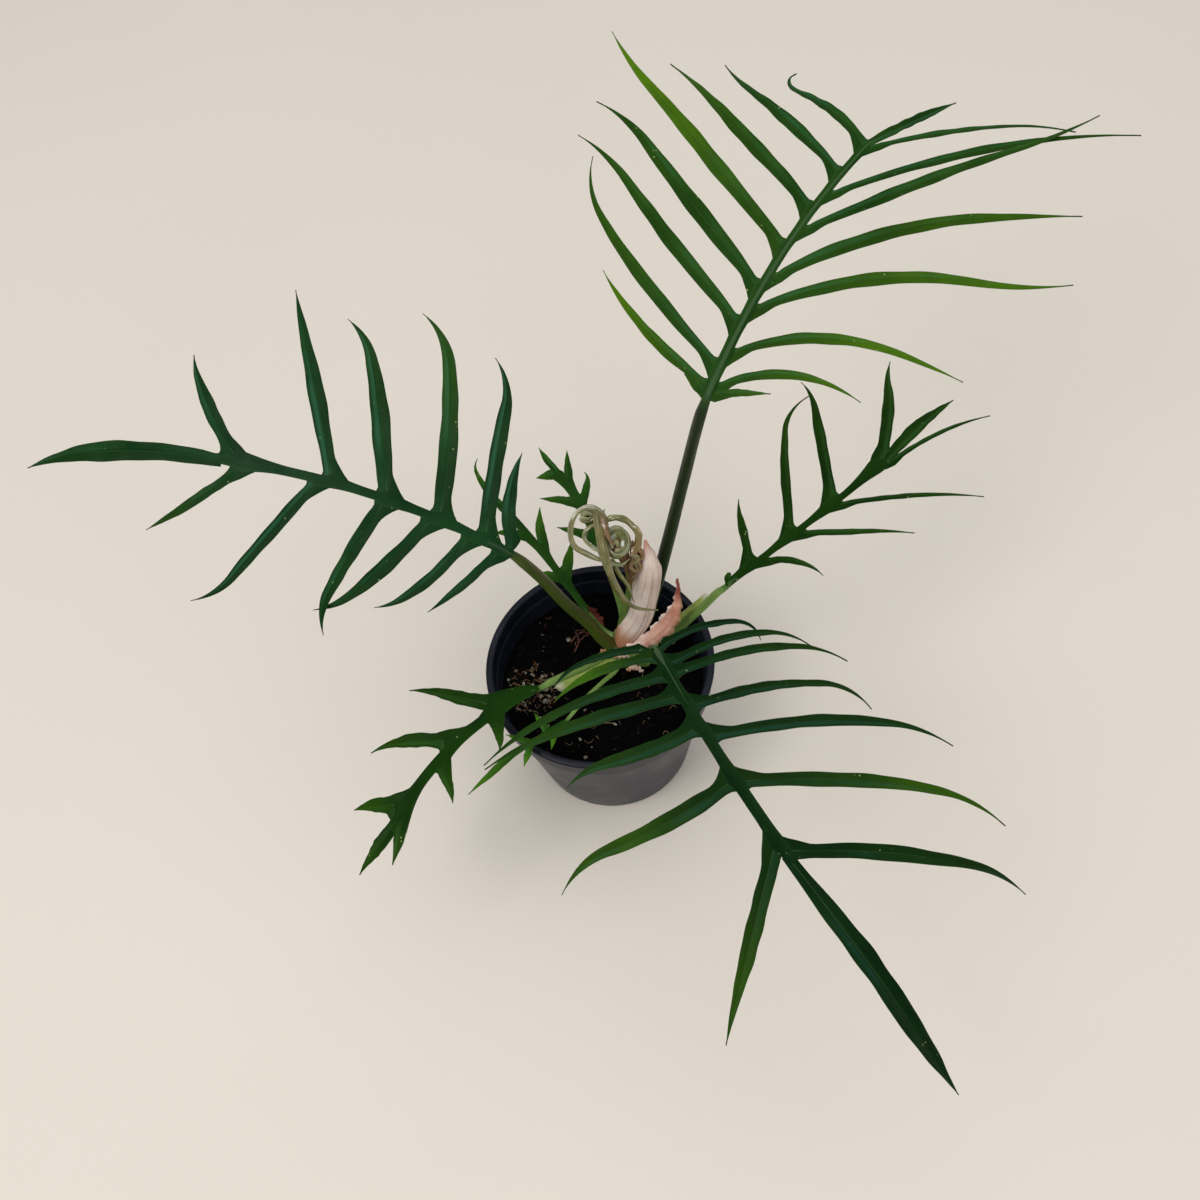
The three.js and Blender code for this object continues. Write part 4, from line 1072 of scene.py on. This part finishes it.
HEAD_CENTRE = np.array([18, 20.5, 148.5])
HEAD_LEAN = radians(31.2)
HEAD_TURN = radians(-10.65)
HEAD_SLOPE = np.array([0, cos(HEAD_LEAN), sin(HEAD_LEAN)])
HEAD_SIDE = np.array([cos(HEAD_TURN), 0, 0]) + HEAD_SLOPE * sin(HEAD_TURN)
HEAD_RISE = HEAD_SLOPE * cos(HEAD_TURN) - np.array([sin(HEAD_TURN), 0, 0])
HEAD_FACE = np.cross(HEAD_SIDE, HEAD_RISE)
NEW_PETIOLE = [(12.5, 15.5, 80.6), (15.5, 17.5, 92), (20, 20, 107), (21, 21, 122), (18, 20.5, 148)]


def head(point):
    side, rise, out = point
    return HEAD_CENTRE + HEAD_SIDE * side + HEAD_RISE * rise + HEAD_FACE * out


def turns(centre, side, rise, start, end, shrink=1.0, out=0.0):
    """Points round an ellipse in the head's plane from one angle to another, shrinking and coming out."""
    steps = ceil(abs(end - start) / 20)
    points = []
    for i in range(steps + 1):
        share = i / steps
        angle, size = radians(lerp(start, end, share)), lerp(1, shrink, share)
        points.append((centre[0] + side * size * cos(angle), centre[1] + rise * size * sin(angle),
                       centre[2] + out * share))
    return points


# The ribbons: width, how far they lean, how long they taper, how brown they start and end, and route
RIBBONS = [
    (2.7, 30, 9, 0.35, 0.0, [
        (-4, 5, 1), (-6, 11.4, 2.5), (-9.6, 14.9, 2), (-13.4, 15.7, 1), (-18, 13.4, 0), (-20.8, 8.3, -1),
        (-20.9, 1.5, -2), (-18.6, -2.6, -2), (-14.3, -5, -2), (-8.2, -7.7, -1), (-2, -8.6, -2),
    ]),
    (4.0, 4, 3.2, 0.3, 0.0, [
        (-13, 14.2, 0), (-9.6, 13.1, 3.5), (-8.4, 8, 4.8), (-7.6, 1.4, 5.4), (-6.2, -5.6, 4),
        (-4.2, -12.4, 0), (-1.3, -19.1, -6), (3.2, -25.3, -13), (8.2, -28.5, -19), (13, -29.5, -22),
        (18.6, -29.8, -23),
    ]),
    (2.8, -20, 3, 0.8, 1.0, [(-7.2, 12.4, 2.5), (-6, 8, 5), (-4.4, 3, 5.4), (-2.2, -1.8, 4.4)]),
    (2.3, 35, 9, 0.2, 0.1, turns((-13.6, 11.2, -0.5), 3.6, 2.5, 200, 700, 0.55, 2.2)),
    (1.9, 30, 9, 0.0, 0.1, [
        (-6.6, -4.6, 1.5), (-11.3, -1.5, -0.5), (-14.2, 1.5, 0), (-13.7, 4.6, 0.8), (-10.4, 7, 1.2),
        (-7.8, 5.6, 1.2), (-8, 0, 0),
    ]),
    (2.8, 25, 8, 0.0, 0.35, [
        (-6, 8.8, 0), (-1, 10.3, 1.5), (3.2, 9.5, 1), (6.8, 5.8, 0), (8.1, 2.8, -0.5),
    ]),
    (3.8, 36, 8, 0.35, 0.95, [
        (5.6, 7.4, 0), (7.8, 4.4, 0), (8.4, 1, -1), (7.3, -3, -2), (5.2, -6.2, -3.5),
    ]),
    (3.2, 44, 12, 0.0, 0.1, turns((-0.5, 0, -1), 5.6, 6.9, 60, 430, 0.97, 0.5)),
    (4.4, 16, 12, 0.0, 0.1, turns((-0.4, -0.1, 0.4), 3.2, 4.2, 250, 590, 0.92, 0.9)),
    (2.2, 24, 9, 0.1, 0.4, turns((-1, -0.6, 2), 1.3, 1.8, 300, 600, 0.4, 1.0)),
    (2.2, -35, 5, 0.0, 0.0, [
        (-7.4, 3.4, 1), (-6.6, -3, 1), (-3.4, -8, 0), (1.4, -9.6, -1), (5.2, -7.4, -2),
    ]),
    (2.0, 15, 3, 0.1, 0.0, [
        (-2.4, -7, 0), (-1.2, -10.3, -2), (1.5, -15, -7), (4.9, -19.9, -13), (7.5, -26, -19),
    ]),
    (4.8, 12, 3, 0.9, 0.9, [
        (5.5, 0.5, -4), (7.6, -4.5, -5.5), (7.6, -10, -10.5), (6.2, -15, -16.5), (4.2, -20, -24),
    ]),
    (2.6, 45, 6, 1.0, 0.7, [
        (4.4, -3, -3), (8.4, -3.2, -2), (10.3, -6, -5), (7.3, -8, -6), (9.8, -10.5, -9), (7.2, -12.5, -11),
        (8.4, -15.5, -15),
    ]),
    (2.2, -40, 6, 0.6, 0.9, [
        (9.8, -0.6, -3), (7, -4.5, -2.5), (9.4, -7.5, -5), (6.4, -10, -7.5), (8.4, -13, -11),
        (6.4, -16, -16),
    ]),
    (1.6, 20, 5, 0.2, 0.3, [(5.2, -5.5, -2.5), (8.6, -6.6, -3), (8, -9.8, -6.5), (9.4, -12.2, -9)]),
]
RIBBON_COLUMNS = 9
RIBBON_ROW = 0.8
RIBBON_THICKNESS = 0.6
RIBBON_SWAY = radians(14)


def add_ribbon(maker, width, lean, taper, first_tint, last_tint, route, random):
    route = [head(point) for point in route]
    rows = max(16, round(distances(smooth_path(route, 12))[-1] / RIBBON_ROW))
    path = smooth_path(route, rows)
    place = np.linspace(0, 1, rows)
    directions = unit(np.gradient(path, axis=0))
    phase = random.random(2) * 2 * pi
    roll = radians(lean) + RIBBON_SWAY * np.sin(2 * pi * 1.1 * place + phase[0])[:, None]
    across, normals = turned(*flanks(directions, HEAD_FACE), roll)
    half = width / 2 * (0.4 + 0.6 * smoothstep(0, 0.15, place)) * np.maximum(1 - place ** taper, 0.12)
    half *= 1 + 0.08 * np.sin(2 * pi * 3.3 * place + phase[1])
    half = half[:, None]
    cross = np.linspace(-1, 1, RIBBON_COLUMNS)
    crown = -0.7 * half * cross ** 2 + 0.12 * np.cos(3 * pi * cross)[None, :] * np.minimum(half, 1)
    grid = swept(path, across, cross * half, normals, crown)
    add_sheet(maker, grid, RIBBON_THICKNESS, 0, place, cross, lerp(first_tint, last_tint, place))


def make_new_leaf(materials):
    random = np.random.default_rng(21)
    maker = Maker()
    path = smooth_path(NEW_PETIOLE, 60)
    place = np.linspace(0, 1, 60)
    add_tube(maker, path, lerp(1.9, 1.7, place) + 1.2 * smoothstep(0.6, 0.9, place), 16, 1,
             tint=smoothstep(0.45, 0.75, place))
    # A dark core in the withered bract's brown: painted shade filling the deep gaps between the scroll's
    # bands
    shade_core = np.linspace(head((0, 0, -6)), head((0, 0, 0.4)), 12)
    add_tube(maker, shade_core, 4.6 - 1.2 * np.linspace(0, 1, 12) ** 3, 20, 2)
    for ribbon in RIBBONS:
        add_ribbon(maker, *ribbon, random)
    return maker.make("new_leaf_rolled", materials)


# Papery sheaths and the withered bract: the way each bulges, its arc in degrees, and its ruffled edges

PAPERY = {
    "cataphyll_standing_papery": dict(
        route=[(10.8, 9.4, 74.5), (13.6, 9, 80), (22, 10, 94), (27, 12, 115), (30, 13.5, 134), (30, 19, 148)],
        half_widths=[3.6, 6.3, 5.9, 5.9, 6.2, 5.4, 3.2, 0.4],
        rows=80, outward=(-0.1, -0.9, 0.42), arc=118, ruffle=0.25, turns=5,
    ),
    "cataphyll_curled_papery": dict(
        route=[(14.4, 6, 77.6), (20.3, 6, 80.3), (28.4, 6, 87), (35.4, 6.4, 97), (40, 8.6, 108),
               (42, 15, 118)],
        half_widths=[2.2, 3.2, 3.9, 4.5, 3.9, 2.6, 1.2, 0.4],
        rows=70, outward=(-0.25, -0.6, 0.75), arc=50, ruffle=0.7, turns=6,
    ),
    "dried_bract_withered": dict(
        route=[(4.5, 28, 65.4), (1.5, 32.5, 69), (-1, 36, 74.4)],
        half_widths=[2, 3.4, 0.6],
        rows=30, outward=(0.2, -0.5, 0.84), arc=50, ruffle=0.6, turns=2.3,
    ),
}
PAPERY_THICKNESS = 0.5
PAPERY_COLUMNS = 25
PAPERY_LEAST = 0.35


def make_papery(name, material):
    shape = PAPERY[name]
    rows = shape["rows"]
    middle = smooth_path(shape["route"], rows)
    half = np.array([max(through(shape["half_widths"], i / (rows - 1)), PAPERY_LEAST) for i in range(rows)])
    maker = Maker()
    add_trough(maker, middle, half, shape["outward"], shape["arc"], PAPERY_THICKNESS, shape["ruffle"],
               turns=shape["turns"], columns=PAPERY_COLUMNS)
    return maker.make(name, [material])


# Torn papery scraps about the stem: half width and route of each
SCRAPS = [
    (1.0, [(1.5, 9.4, 75.5), (8, 8.2, 76.2), (15, 7.6, 74.6), (24, 8, 72)]),
    (1.5, [(6, 7.6, 71.6), (11, 6.4, 73), (16, 6, 71.4)]),
    (1.3, [(9.5, 3, 70.8), (14, 3.4, 72.2), (18.5, 2, 70.4)]),
    (1.2, [(12, -0.5, 70), (16, -0.6, 71.6), (19.5, -2.4, 69.4)]),
]


SCRAP_ROWS = 24


def make_scraps(material):
    maker = Maker()
    for half_width, route in SCRAPS:
        middle = smooth_path(route, SCRAP_ROWS)
        half = half_width * (0.3 + 0.7 * np.sin(pi * np.linspace(0.08, 0.92, SCRAP_ROWS)))
        add_trough(maker, middle, half, (0, -0.6, 0.8), 46, 0.4, 0.5, turns=4, columns=9)
    return maker.make("papery_scraps", [material])


# Pot

POT_HEIGHT = 82
LIP_RADIUS = 54
LIP_WIDTH = 3.6
LIP_DEPTH = 2
EDGE_ROUND = 0.7
BAND_HEIGHT = 11
BAND_RADIUS = 52.8
STEP_DEPTH = 2.1
STEP_SLOPE = 1
POT_WALL = 1.6
FOOT_RADIUS = 39
FOOT_ROUND = 1.2
FLOOR_THICKNESS = 1.8
BAND_FOOT = POT_HEIGHT - BAND_HEIGHT
WALL_TOP_RADIUS = BAND_RADIUS - STEP_DEPTH
POT_SIDES = 144
POT_CORNER = 0.45
FOOT_RECESS = 0.6
FOOT_RING = (4.5, 3.5)
BEAD = 0.9
BEAD_TOP = 1.6
DRAIN_HOLES = 8
DRAIN_RADIUS = 3.5
DRAIN_CIRCLE = 29


def round_corners(profile, size):
    """Cuts each corner of a (radius, height) profile into three points."""
    points = [profile[0]]
    for a, b, c in zip(profile, profile[1:], profile[2:]):
        a, b, c = (np.array(p, float) for p in (a, b, c))
        reach = min(size, np.linalg.norm(b - a) / 2.1, np.linalg.norm(c - b) / 2.1)
        first = b + unit(a - b) * reach
        last = b + unit(c - b) * reach
        points += [first, (first + last) / 4 + b / 2, last]
    return [tuple(p) for p in points + [profile[-1]]]


def make_pot(material):
    inner = LIP_RADIUS - LIP_WIDTH
    step = BAND_FOOT + STEP_SLOPE
    outside = [
        (0, FOOT_RECESS), (FOOT_RADIUS - FOOT_RING[0], FOOT_RECESS), (FOOT_RADIUS - FOOT_RING[1], 0),
        (FOOT_RADIUS - FOOT_ROUND, 0), (FOOT_RADIUS, FOOT_ROUND),
        (lerp(FOOT_RADIUS, WALL_TOP_RADIUS, 0.5), BAND_FOOT / 2), (WALL_TOP_RADIUS, BAND_FOOT - STEP_SLOPE),
        (BAND_RADIUS, BAND_FOOT), (BAND_RADIUS, POT_HEIGHT - LIP_DEPTH), (LIP_RADIUS, POT_HEIGHT - LIP_DEPTH),
        (LIP_RADIUS, POT_HEIGHT - EDGE_ROUND), (LIP_RADIUS - EDGE_ROUND, POT_HEIGHT),
    ]
    inside = [
        (inner + EDGE_ROUND, POT_HEIGHT), (inner, POT_HEIGHT - EDGE_ROUND), (inner, step + BEAD_TOP),
        (inner - BEAD, step + BEAD), (inner - BEAD, step), (WALL_TOP_RADIUS - POT_WALL, BAND_FOOT),
        (FOOT_RADIUS - POT_WALL, FLOOR_THICKNESS), (0, FLOOR_THICKNESS),
    ]
    profile = round_corners(outside + inside, POT_CORNER)
    turn = np.linspace(0, 2 * pi, POT_SIDES, endpoint=False)
    rings = np.array([[(r * cos(t), r * sin(t), z) for t in turn] for r, z in profile[1:-1]])
    points = np.vstack([rings.reshape(-1, 3), [(0, 0, profile[0][1]), (0, 0, profile[-1][1])]])
    faces = [face[::-1] for face in grid_faces(len(rings), POT_SIDES, closed=True)]
    faces += cap_faces(len(rings), POT_SIDES)
    # Tint marks the outer wall for its grey of painted sheen and dust
    sheen_and_dust_share = np.array([0.9 if r > 38 and z < POT_HEIGHT - 1 else 0.0 for r, z in profile[1:-1]])
    sheen_and_dust_share[len(round_corners(outside, POT_CORNER)):] = 0.0
    maker = Maker()
    maker.add(points, faces, tint=np.append(np.repeat(sheen_and_dust_share, POT_SIDES), [0.4, 0]))
    pot = maker.make("pot_moulded", [material], sharp=40)
    cut_drains(pot)
    return pot


def cut_drains(pot):
    cutter = Maker()
    for i in range(DRAIN_HOLES):
        turn = 2 * pi * i / DRAIN_HOLES
        x, y = DRAIN_CIRCLE * cos(turn), DRAIN_CIRCLE * sin(turn)
        path = np.array([(x, y, z) for z in (-3.0, 0.0, 3.0, 6.0)])
        add_tube(cutter, path, DRAIN_RADIUS, 28, 0, first=(1, 0, 0))
    tool = cutter.make("drain_cutter", [])
    change = pot.modifiers.new("drains", "BOOLEAN")
    change.operation = "DIFFERENCE"
    change.solver = "EXACT"
    change.object = tool
    bpy.context.view_layer.update()
    cut = bpy.data.meshes.new_from_object(pot.evaluated_get(bpy.context.evaluated_depsgraph_get()))
    pot.modifiers.clear()
    pot.data = cut
    bpy.data.objects.remove(tool)


# Soil, with bark crumbs and perlite lying in it

SOIL_LEVEL = 65
SOIL_RELIEF = 1.3
SOIL_EDGE = 48.2
SOIL_FOOT = 36.9
SOIL_MARGIN = 2

# Where bark and perlite crowd: the middle, the reach and the weight of each patch
PATCHES = [
    ((-38, 9), 8, 0.8), ((-30, 2), 9, 0.9), ((-37, -6), 8, 0.6), ((-28, -18), 9, 0.4), ((-14, -36), 7, 0.2),
    ((-24, 26), 8, 0.15), ((36, 14), 8, 0.25),
]

SOIL_RINGS = 96
SOIL_SIDES = 260
SOIL_INSIDE = [(SOIL_EDGE - 0.3, 60), ((SOIL_EDGE + SOIL_FOOT) / 2, 32), (SOIL_FOOT, 2.4), (0.01, 2.4)]


def soil_height(x, y):
    broad = sin(x * 0.11 + 1) * cos(y * 0.13 - 0.5)
    fine = sin(x * 0.43 + y * 0.21) * sin(y * 0.37 - x * 0.15 + 2)
    return SOIL_LEVEL + SOIL_RELIEF * (0.6 * broad + 0.4 * fine) - 0.5


def crumble(x, y):
    """Fine crumbs on the soil, as a height."""
    here = Vector((x / 3.1, y / 3.1, 0.3))
    lumps = 1 - noise.voronoi(here)[0][0]
    grit = 1 - noise.voronoi(here * 2.7 + Vector((5, 2, 1)))[0][0]
    return (lumps - 0.55) + 0.45 * (grit - 0.55) + 0.5 * noise.noise(here * 0.5)


def make_soil(material):
    turn = np.linspace(0, 2 * pi, SOIL_SIDES, endpoint=False)
    rows = []
    for i in range(SOIL_RINGS + 1):
        share = i / SOIL_RINGS
        fade = 1 - 0.6 * smoothstep(0.93, 1, share)
        ring = [(SOIL_EDGE * share * cos(t), SOIL_EDGE * share * sin(t)) for t in turn]
        rows.append([(x, y, soil_height(x, y) + fade * crumble(x, y)) for x, y in ring])
    rows += [[(radius * cos(t), radius * sin(t), height) for t in turn] for radius, height in SOIL_INSIDE]
    maker = Maker()
    maker.add(np.array(rows), grid_faces(len(rows), SOIL_SIDES, closed=True))
    return maker.make("soil_bed", [material], sharp=180)


def icosphere(fineness):
    ball = bmesh.new()
    bmesh.ops.create_icosphere(ball, subdivisions=fineness, radius=1)
    points = np.array([v.co[:] for v in ball.verts])
    faces = [[v.index for v in f.verts] for f in ball.faces]
    ball.free()
    return points, faces


def random_turn(random):
    return np.array(Matrix.Rotation(random.random() * 2 * pi, 3, Vector(random.normal(size=3)).normalized()))


def round_spot(random, middle, reach, power):
    """A random spot in a circle, evenly spread for a power of a half and crowding to the middle above it."""
    angle = random.random() * 2 * pi
    out = reach * random.random() ** power
    return middle[0] + out * cos(angle), middle[1] + out * sin(angle)


# Grains: how many, the least and greatest size, the shape, how finely each is cut, the share that lies in the
# patches, how rough they are, how far they stand up, the seed of their spread and the least angle of an edge
GRAINS = {
    "bark_crumbs": dict(
        count=420, sizes=(0.5, 2.6), shape=(1.3, 0.7, 0.45), fineness=1, patchy=0.35, roughness=0.35,
        rise=0.05, seed=9, sharp=30,
    ),
    "perlite_grains": dict(
        count=150, sizes=(0.25, 1.45), shape=(1.1, 0.8, 0.7), fineness=2, patchy=0.8, roughness=0.5,
        rise=0.0, seed=5, sharp=35,
    ),
}


def make_grains(name, material):
    kind = GRAINS[name]
    points, faces = icosphere(kind["fineness"])
    weights = np.array([weight for _, _, weight in PATCHES])
    random = np.random.default_rng(kind["seed"])
    maker = Maker()
    for _ in range(kind["count"]):
        if random.random() < kind["patchy"]:
            middle, reach, _ = PATCHES[random.choice(len(PATCHES), p=weights / weights.sum())]
            x, y = round_spot(random, middle, reach, 0.7)
        else:
            x, y = round_spot(random, (0, 0), SOIL_EDGE - SOIL_MARGIN, 0.5)
        if np.hypot(x, y) > SOIL_EDGE - SOIL_MARGIN:
            continue
        size = lerp(*kind["sizes"], random.random() ** 2.2)
        stretch = np.array(kind["shape"]) * (0.75 + 0.5 * random.random(3))
        bumps = 1 + kind["roughness"] * (random.random(len(points))[:, None] - 0.5)
        grain = (points * bumps * stretch * size) @ random_turn(random).T
        grain += (x, y, soil_height(x, y) + crumble(x, y) + size * kind["rise"])
        maker.add(grain, faces, tint=random.random())
    return maker.make(name, [material], sharp=kind["sharp"])


# Fibres laid one by one: route, radius and how straw-coloured
FIBRES = [
    ([(-12, 22, 67), (-6, 24, 71), (0, 23, 69), (5, 22, 70)], 0.5, 0.0),
    ([(-11, 17, 66), (-7, 21, 69), (-2, 22, 71), (3, 20, 69)], 0.45, 0.0),
    ([(-9, 19, 66.5), (-8, 23, 70), (-9, 26, 69), (-4, 27, 68)], 0.4, 0.1),
    ([(-20, -20, 66), (-12, -22, 68.5), (-4, -24, 67.5), (2, -25, 66)], 0.45, 0.8),
    ([(-30, 6, 66), (-26, 2, 67.5), (-25, -3, 66.3)], 0.35, 0.5),
    ([(26, 24, 66), (30, 20, 67.8), (36, 19, 66.4)], 0.4, 0.6),
]
FIBRE_STEPS = 26
LOOSE_FIBRES = 110
FIBRE_REACH = 45
FIBRE_HEAP = (-34, 2)


def make_fibres(material):
    """Thin dry fibres about the stem and on the soil, two thirds of the loose ones on its left."""
    maker = Maker()
    random = np.random.default_rng(31)
    place = np.linspace(0, 1, FIBRE_STEPS)
    for route, radius, tint in FIBRES:
        path = smooth_path(route, FIBRE_STEPS)
        path += 0.25 * random.normal(size=path.shape) * np.sin(pi * place)[:, None]
        add_tube(maker, path, radius * (1 - 0.7 * place), 7, 0, tint=tint)
    for i in range(LOOSE_FIBRES):
        x, y = round_spot(random, (0, 0), FIBRE_REACH, 0.5)
        if i % 3:
            x, y = FIBRE_HEAP[0] + 0.24 * x, FIBRE_HEAP[1] + 0.3 * y
        heading = random.random() * 2 * pi
        reach = 1.5 + 3.5 * random.random()
        spots = []
        for share in (-0.5, -0.15, 0.2, 0.5):
            px, py = x + reach * share * cos(heading), y + reach * share * sin(heading + 2 * share)
            inside = min(1, (SOIL_EDGE - 1.5) / max(np.hypot(px, py), 1))
            px, py = px * inside, py * inside
            spots.append((px, py, soil_height(px, py) + 0.7 - 1.6 * share ** 2 + 0.5 * random.random()))
        radius = 0.08 + 0.13 * random.random()
        add_tube(maker, smooth_path(spots, 12), radius, 5, 0, tint=random.random() * 0.8)
    return maker.make("dried_fibres", [material])


STEM_PLACE = (13, 15)
STEM_RADIUS = 5.0
STEM_FOOT = 36.5
STEM_TOP = 79.5
SCAR = 0.32
SCAR_RATE = 1.9


def make_stem(material):
    """The short stub with the scars of fallen leaves."""
    heights = np.linspace(STEM_FOOT, STEM_TOP, 70)
    path = np.array([(*STEM_PLACE, z) for z in heights])
    scars = SCAR * np.maximum(0, np.sin(heights * SCAR_RATE)) ** 6
    above = np.clip((heights - SOIL_LEVEL) / 15, 0, 1)
    radii = (STEM_RADIUS - 1.2 * above ** 2 + scars) * (1 - smoothstep(78.2, 79.8, heights) * 0.35)
    maker = Maker()
    add_tube(maker, path, radii, 28, 0, first=(1, 0, 0))
    return maker.make("stem_stub", [material])


# Floor and light: each light's place, size and reach are in metres, its strength in watts

FLOOR_COLOUR = (226, 217, 204)
FLOOR_COLOUR_WARM = (224, 215, 202)
FLOOR_REACH = 2.0
WORLD_COLOUR = (0.95, 0.97, 1.0, 1)
WORLD_LEVEL = 0.5
LIGHT_TARGET = (0, 0, 0.1)
LIGHTS = [
    ("window", (-0.8, -0.5, 1.7), 0.7, 11, (1.0, 0.99, 0.98)),
    ("fill", (0.9, -1.3, 1.8), 1.4, 9, (0.97, 0.98, 1.0)),
    ("top", (0.1, 0.3, 2.4), 2.0, 15, (1.0, 1.0, 1.0)),
]


def make_floor():
    corners = [(FLOOR_REACH * x, FLOOR_REACH * y, 0) for x, y in ((-1, -1), (1, -1), (1, 1), (-1, 1))]
    mesh = bpy.data.meshes.new("floor")
    mesh.from_pydata(corners, [], [(0, 1, 2, 3)])
    mesh.materials.append(floor_look())
    floor = bpy.data.objects.new("floor", mesh)
    SCENE.collection.objects.link(floor)


def make_lights():
    world = bpy.data.worlds.new("studio")
    world.use_nodes = True
    background = world.node_tree.nodes["Background"]
    background.inputs["Color"].default_value = WORLD_COLOUR
    background.inputs["Strength"].default_value = WORLD_LEVEL
    SCENE.world = world
    for name, place, size, energy, colour in LIGHTS:
        data = bpy.data.lights.new(name, "AREA")
        data.energy = energy
        data.size = size
        data.color = colour
        lamp = bpy.data.objects.new(name, data)
        lamp.location = place
        lamp.rotation_euler = (Vector(LIGHT_TARGET) - Vector(place)).to_track_quat("-Z", "Y").to_euler()
        SCENE.collection.objects.link(lamp)


SCENE.view_settings.view_transform = "Standard"
make_floor()
make_lights()

# Leaf looks: the deep and fresh colours, the bluish colour of the painted sheen, the vein and young colours,
# the number of pleats and the sheen
green = leaf_look("blade_green", (12, 46, 2), (38, 74, 20), (34, 84, 48), (66, 98, 52), (76, 114, 4), 1, 0.3)
dark = leaf_look("blade_dark_green", (3, 36, 7), (24, 62, 28), (42, 88, 62), (52, 90, 56),
                 (58, 94, 14), 1, 0.28)
front_green = leaf_look("blade_front_green", (2, 29, 4), (18, 48, 14), (26, 66, 52), (54, 82, 50),
                        (62, 100, 8), 2, 0.3)
fresh_green = leaf_look("blade_fresh_green", (5, 35, 1), (26, 60, 8), (42, 78, 34), (60, 92, 42),
                        (62, 102, 8), 1, 0.32)
young = leaf_look("blade_young_green", (12, 48, 3), (38, 78, 18), (54, 100, 50), (76, 114, 52),
                  (72, 120, 14), 1, 0.3)

# Stalk looks: the base, pale and ruddy colours, the share of the ruddy one, and the rib's colour
olive = stalk_look("stalk_olive", (14, 34, 4), (34, 58, 22), (28, 28, 10), 0.35, (48, 80, 38))
brownish = stalk_look("stalk_brownish", (44, 64, 12), (82, 98, 30), (60, 50, 20), 0.5, (22, 56, 26))
fresh = stalk_look("stalk_fresh", (92, 134, 58), (154, 180, 104), (108, 124, 66), 0.3, (30, 66, 20))
front_stalk = stalk_look("stalk_front", (60, 90, 30), (110, 134, 66), (74, 84, 48), 0.3, (50, 72, 42))
pale = stalk_look("sheath_green", (140, 164, 74), (188, 198, 124), (164, 170, 116), 0.4, (214, 212, 184))
tan = stalk_look("stalk_tan", (72, 104, 38), (112, 134, 62), (84, 104, 48), 0.4, (134, 96, 66))

# How each leaf is finished. Looks are those of the blade, the stalk and the sheath. Then come the pleats, the
# taper of its lobes, how deep its rib sinks in the blade, the height and length of the webs beside its lobes,
# how far its last lobes on the left and right are webbed, and where its end lobe is widest. Some leaves have
# a wing or ears of another size, a sheath's start and shift, a petiole's foot of its own, or an approach: a
# point added before the blade's foot, which holds the rib straight there.
SMALL = dict(looks=[young, fresh, pale], slot="blade_young_green", pleats=1, taper=1.8, sink=0.8,
             end_widest=0.3)
LEAF_STYLES = {
    "leaf_back_right": dict(
        looks=[green, olive, pale], slot="blade_green", pleats=1, taper=1.55, sink=0.45,
        web=(1.0, 12), last=(0.3, 0.3), end_widest=0.45,
    ),
    "leaf_left": dict(
        looks=[dark, brownish, pale], slot="blade_dark_green", pleats=1, taper=2.1, sink=0.8,
        web=(1.6, 16), last=(0.7, 1.6), end_widest=0.46, wing_share=0.6,
        petiole_foot=[[8.8, 11.7, 71], [2.8, 12, 84.5]],
    ),
    "leaf_front": dict(
        looks=[front_green, front_stalk, pale], slot="blade_dark_green", pleats=2, taper=1.7, sink=0.6,
        web=(1.0, 12), last=(0.35, 0.35), end_widest=0.58, approach=0.1,
    ),
    "leaf_right": dict(
        looks=[fresh_green, fresh, pale], slot="blade_green", pleats=1, taper=1.9, sink=0.8,
        web=(2.2, 16), last=(1.3, 0.2), end_widest=0.5, wing_share=0.62, ear_share=0.5,
        sheath_start=0.16, sheath_shift=(-1.6, 1.7, -0.5),
    ),
    "leaf_front_left": dict(
        looks=[fresh_green, fresh, pale], slot="blade_green", pleats=1, taper=1.8, sink=0.8,
        web=(3.6, 15), last=(1.0, 0.55), end_widest=0.3, wing_share=0.75,
        sheath_start=0.02, sheath_shift=(1.1, -1.3, -1.0),
    ),
    "leaf_back_left_small": dict(SMALL, web=(3.4, 11), last=(0.7, 0.7), wing_share=0.75),
    "leaf_back_small": dict(SMALL, web=(3.2, 8), last=(1.3, 1), wing_share=1.15),
    "leaf_low_small": dict(SMALL, web=(1.5, 8), last=(1, 1)),
}


def settle(piece, node):
    """Rides a piece on the one body and hides the solid that it replaces, if there is one."""
    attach(piece, "root")
    if node:
        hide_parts(node)


for seed, (name, leaf) in enumerate(LEAVES.items()):
    style = LEAF_STYLES[name]
    settle(make_leaf(name, leaf, style, seed + 100), name)

# Papery looks: cream, rosy and vein colours, the tip's colour and where it starts, the foot's colour and
# where it ends, and the colours of the left and right edges
standing = papery_look("papery_standing", (238, 224, 210), (216, 190, 178), (150, 112, 96),
                       (190, 132, 116), 0.84, (176, 106, 58), 0.22, (222, 190, 172), (206, 166, 146))
curled = papery_look("papery_curled", (226, 178, 156), (186, 112, 86), (122, 62, 48),
                     (132, 70, 54), 0.7, (238, 212, 204), 0.26, (244, 228, 216), (132, 112, 66))
scraps = papery_look("papery_scraps", (214, 186, 164), (192, 158, 136), (150, 104, 82),
                     (196, 172, 152), 0.7, (182, 122, 80), 0.3, (230, 208, 194), (170, 128, 100))
soil = soil_look("potting_mix", (0, 0, 0), (3, 2, 2), (40, 32, 24), 0.68)
bark = soil_look("bark", (6, 4, 3), (18, 13, 9), (74, 64, 48), 0.62)
withered = withered_look()

settle(make_new_leaf([rolled_look(), tan, withered]), "new_leaf")
settle(make_papery("cataphyll_standing_papery", standing), "cataphyll_standing")
settle(make_papery("cataphyll_curled_papery", curled), "cataphyll_curled")
settle(make_scraps(scraps), None)
settle(make_papery("dried_bract_withered", withered), "dried_bract")
settle(make_pot(plastic_look()), "pot")
settle(make_soil(soil), "soil")
settle(make_grains("bark_crumbs", bark), None)
settle(make_grains("perlite_grains", perlite_look()), None)
settle(make_fibres(fibre_look()), None)
settle(make_stem(stem_look()), "stem")
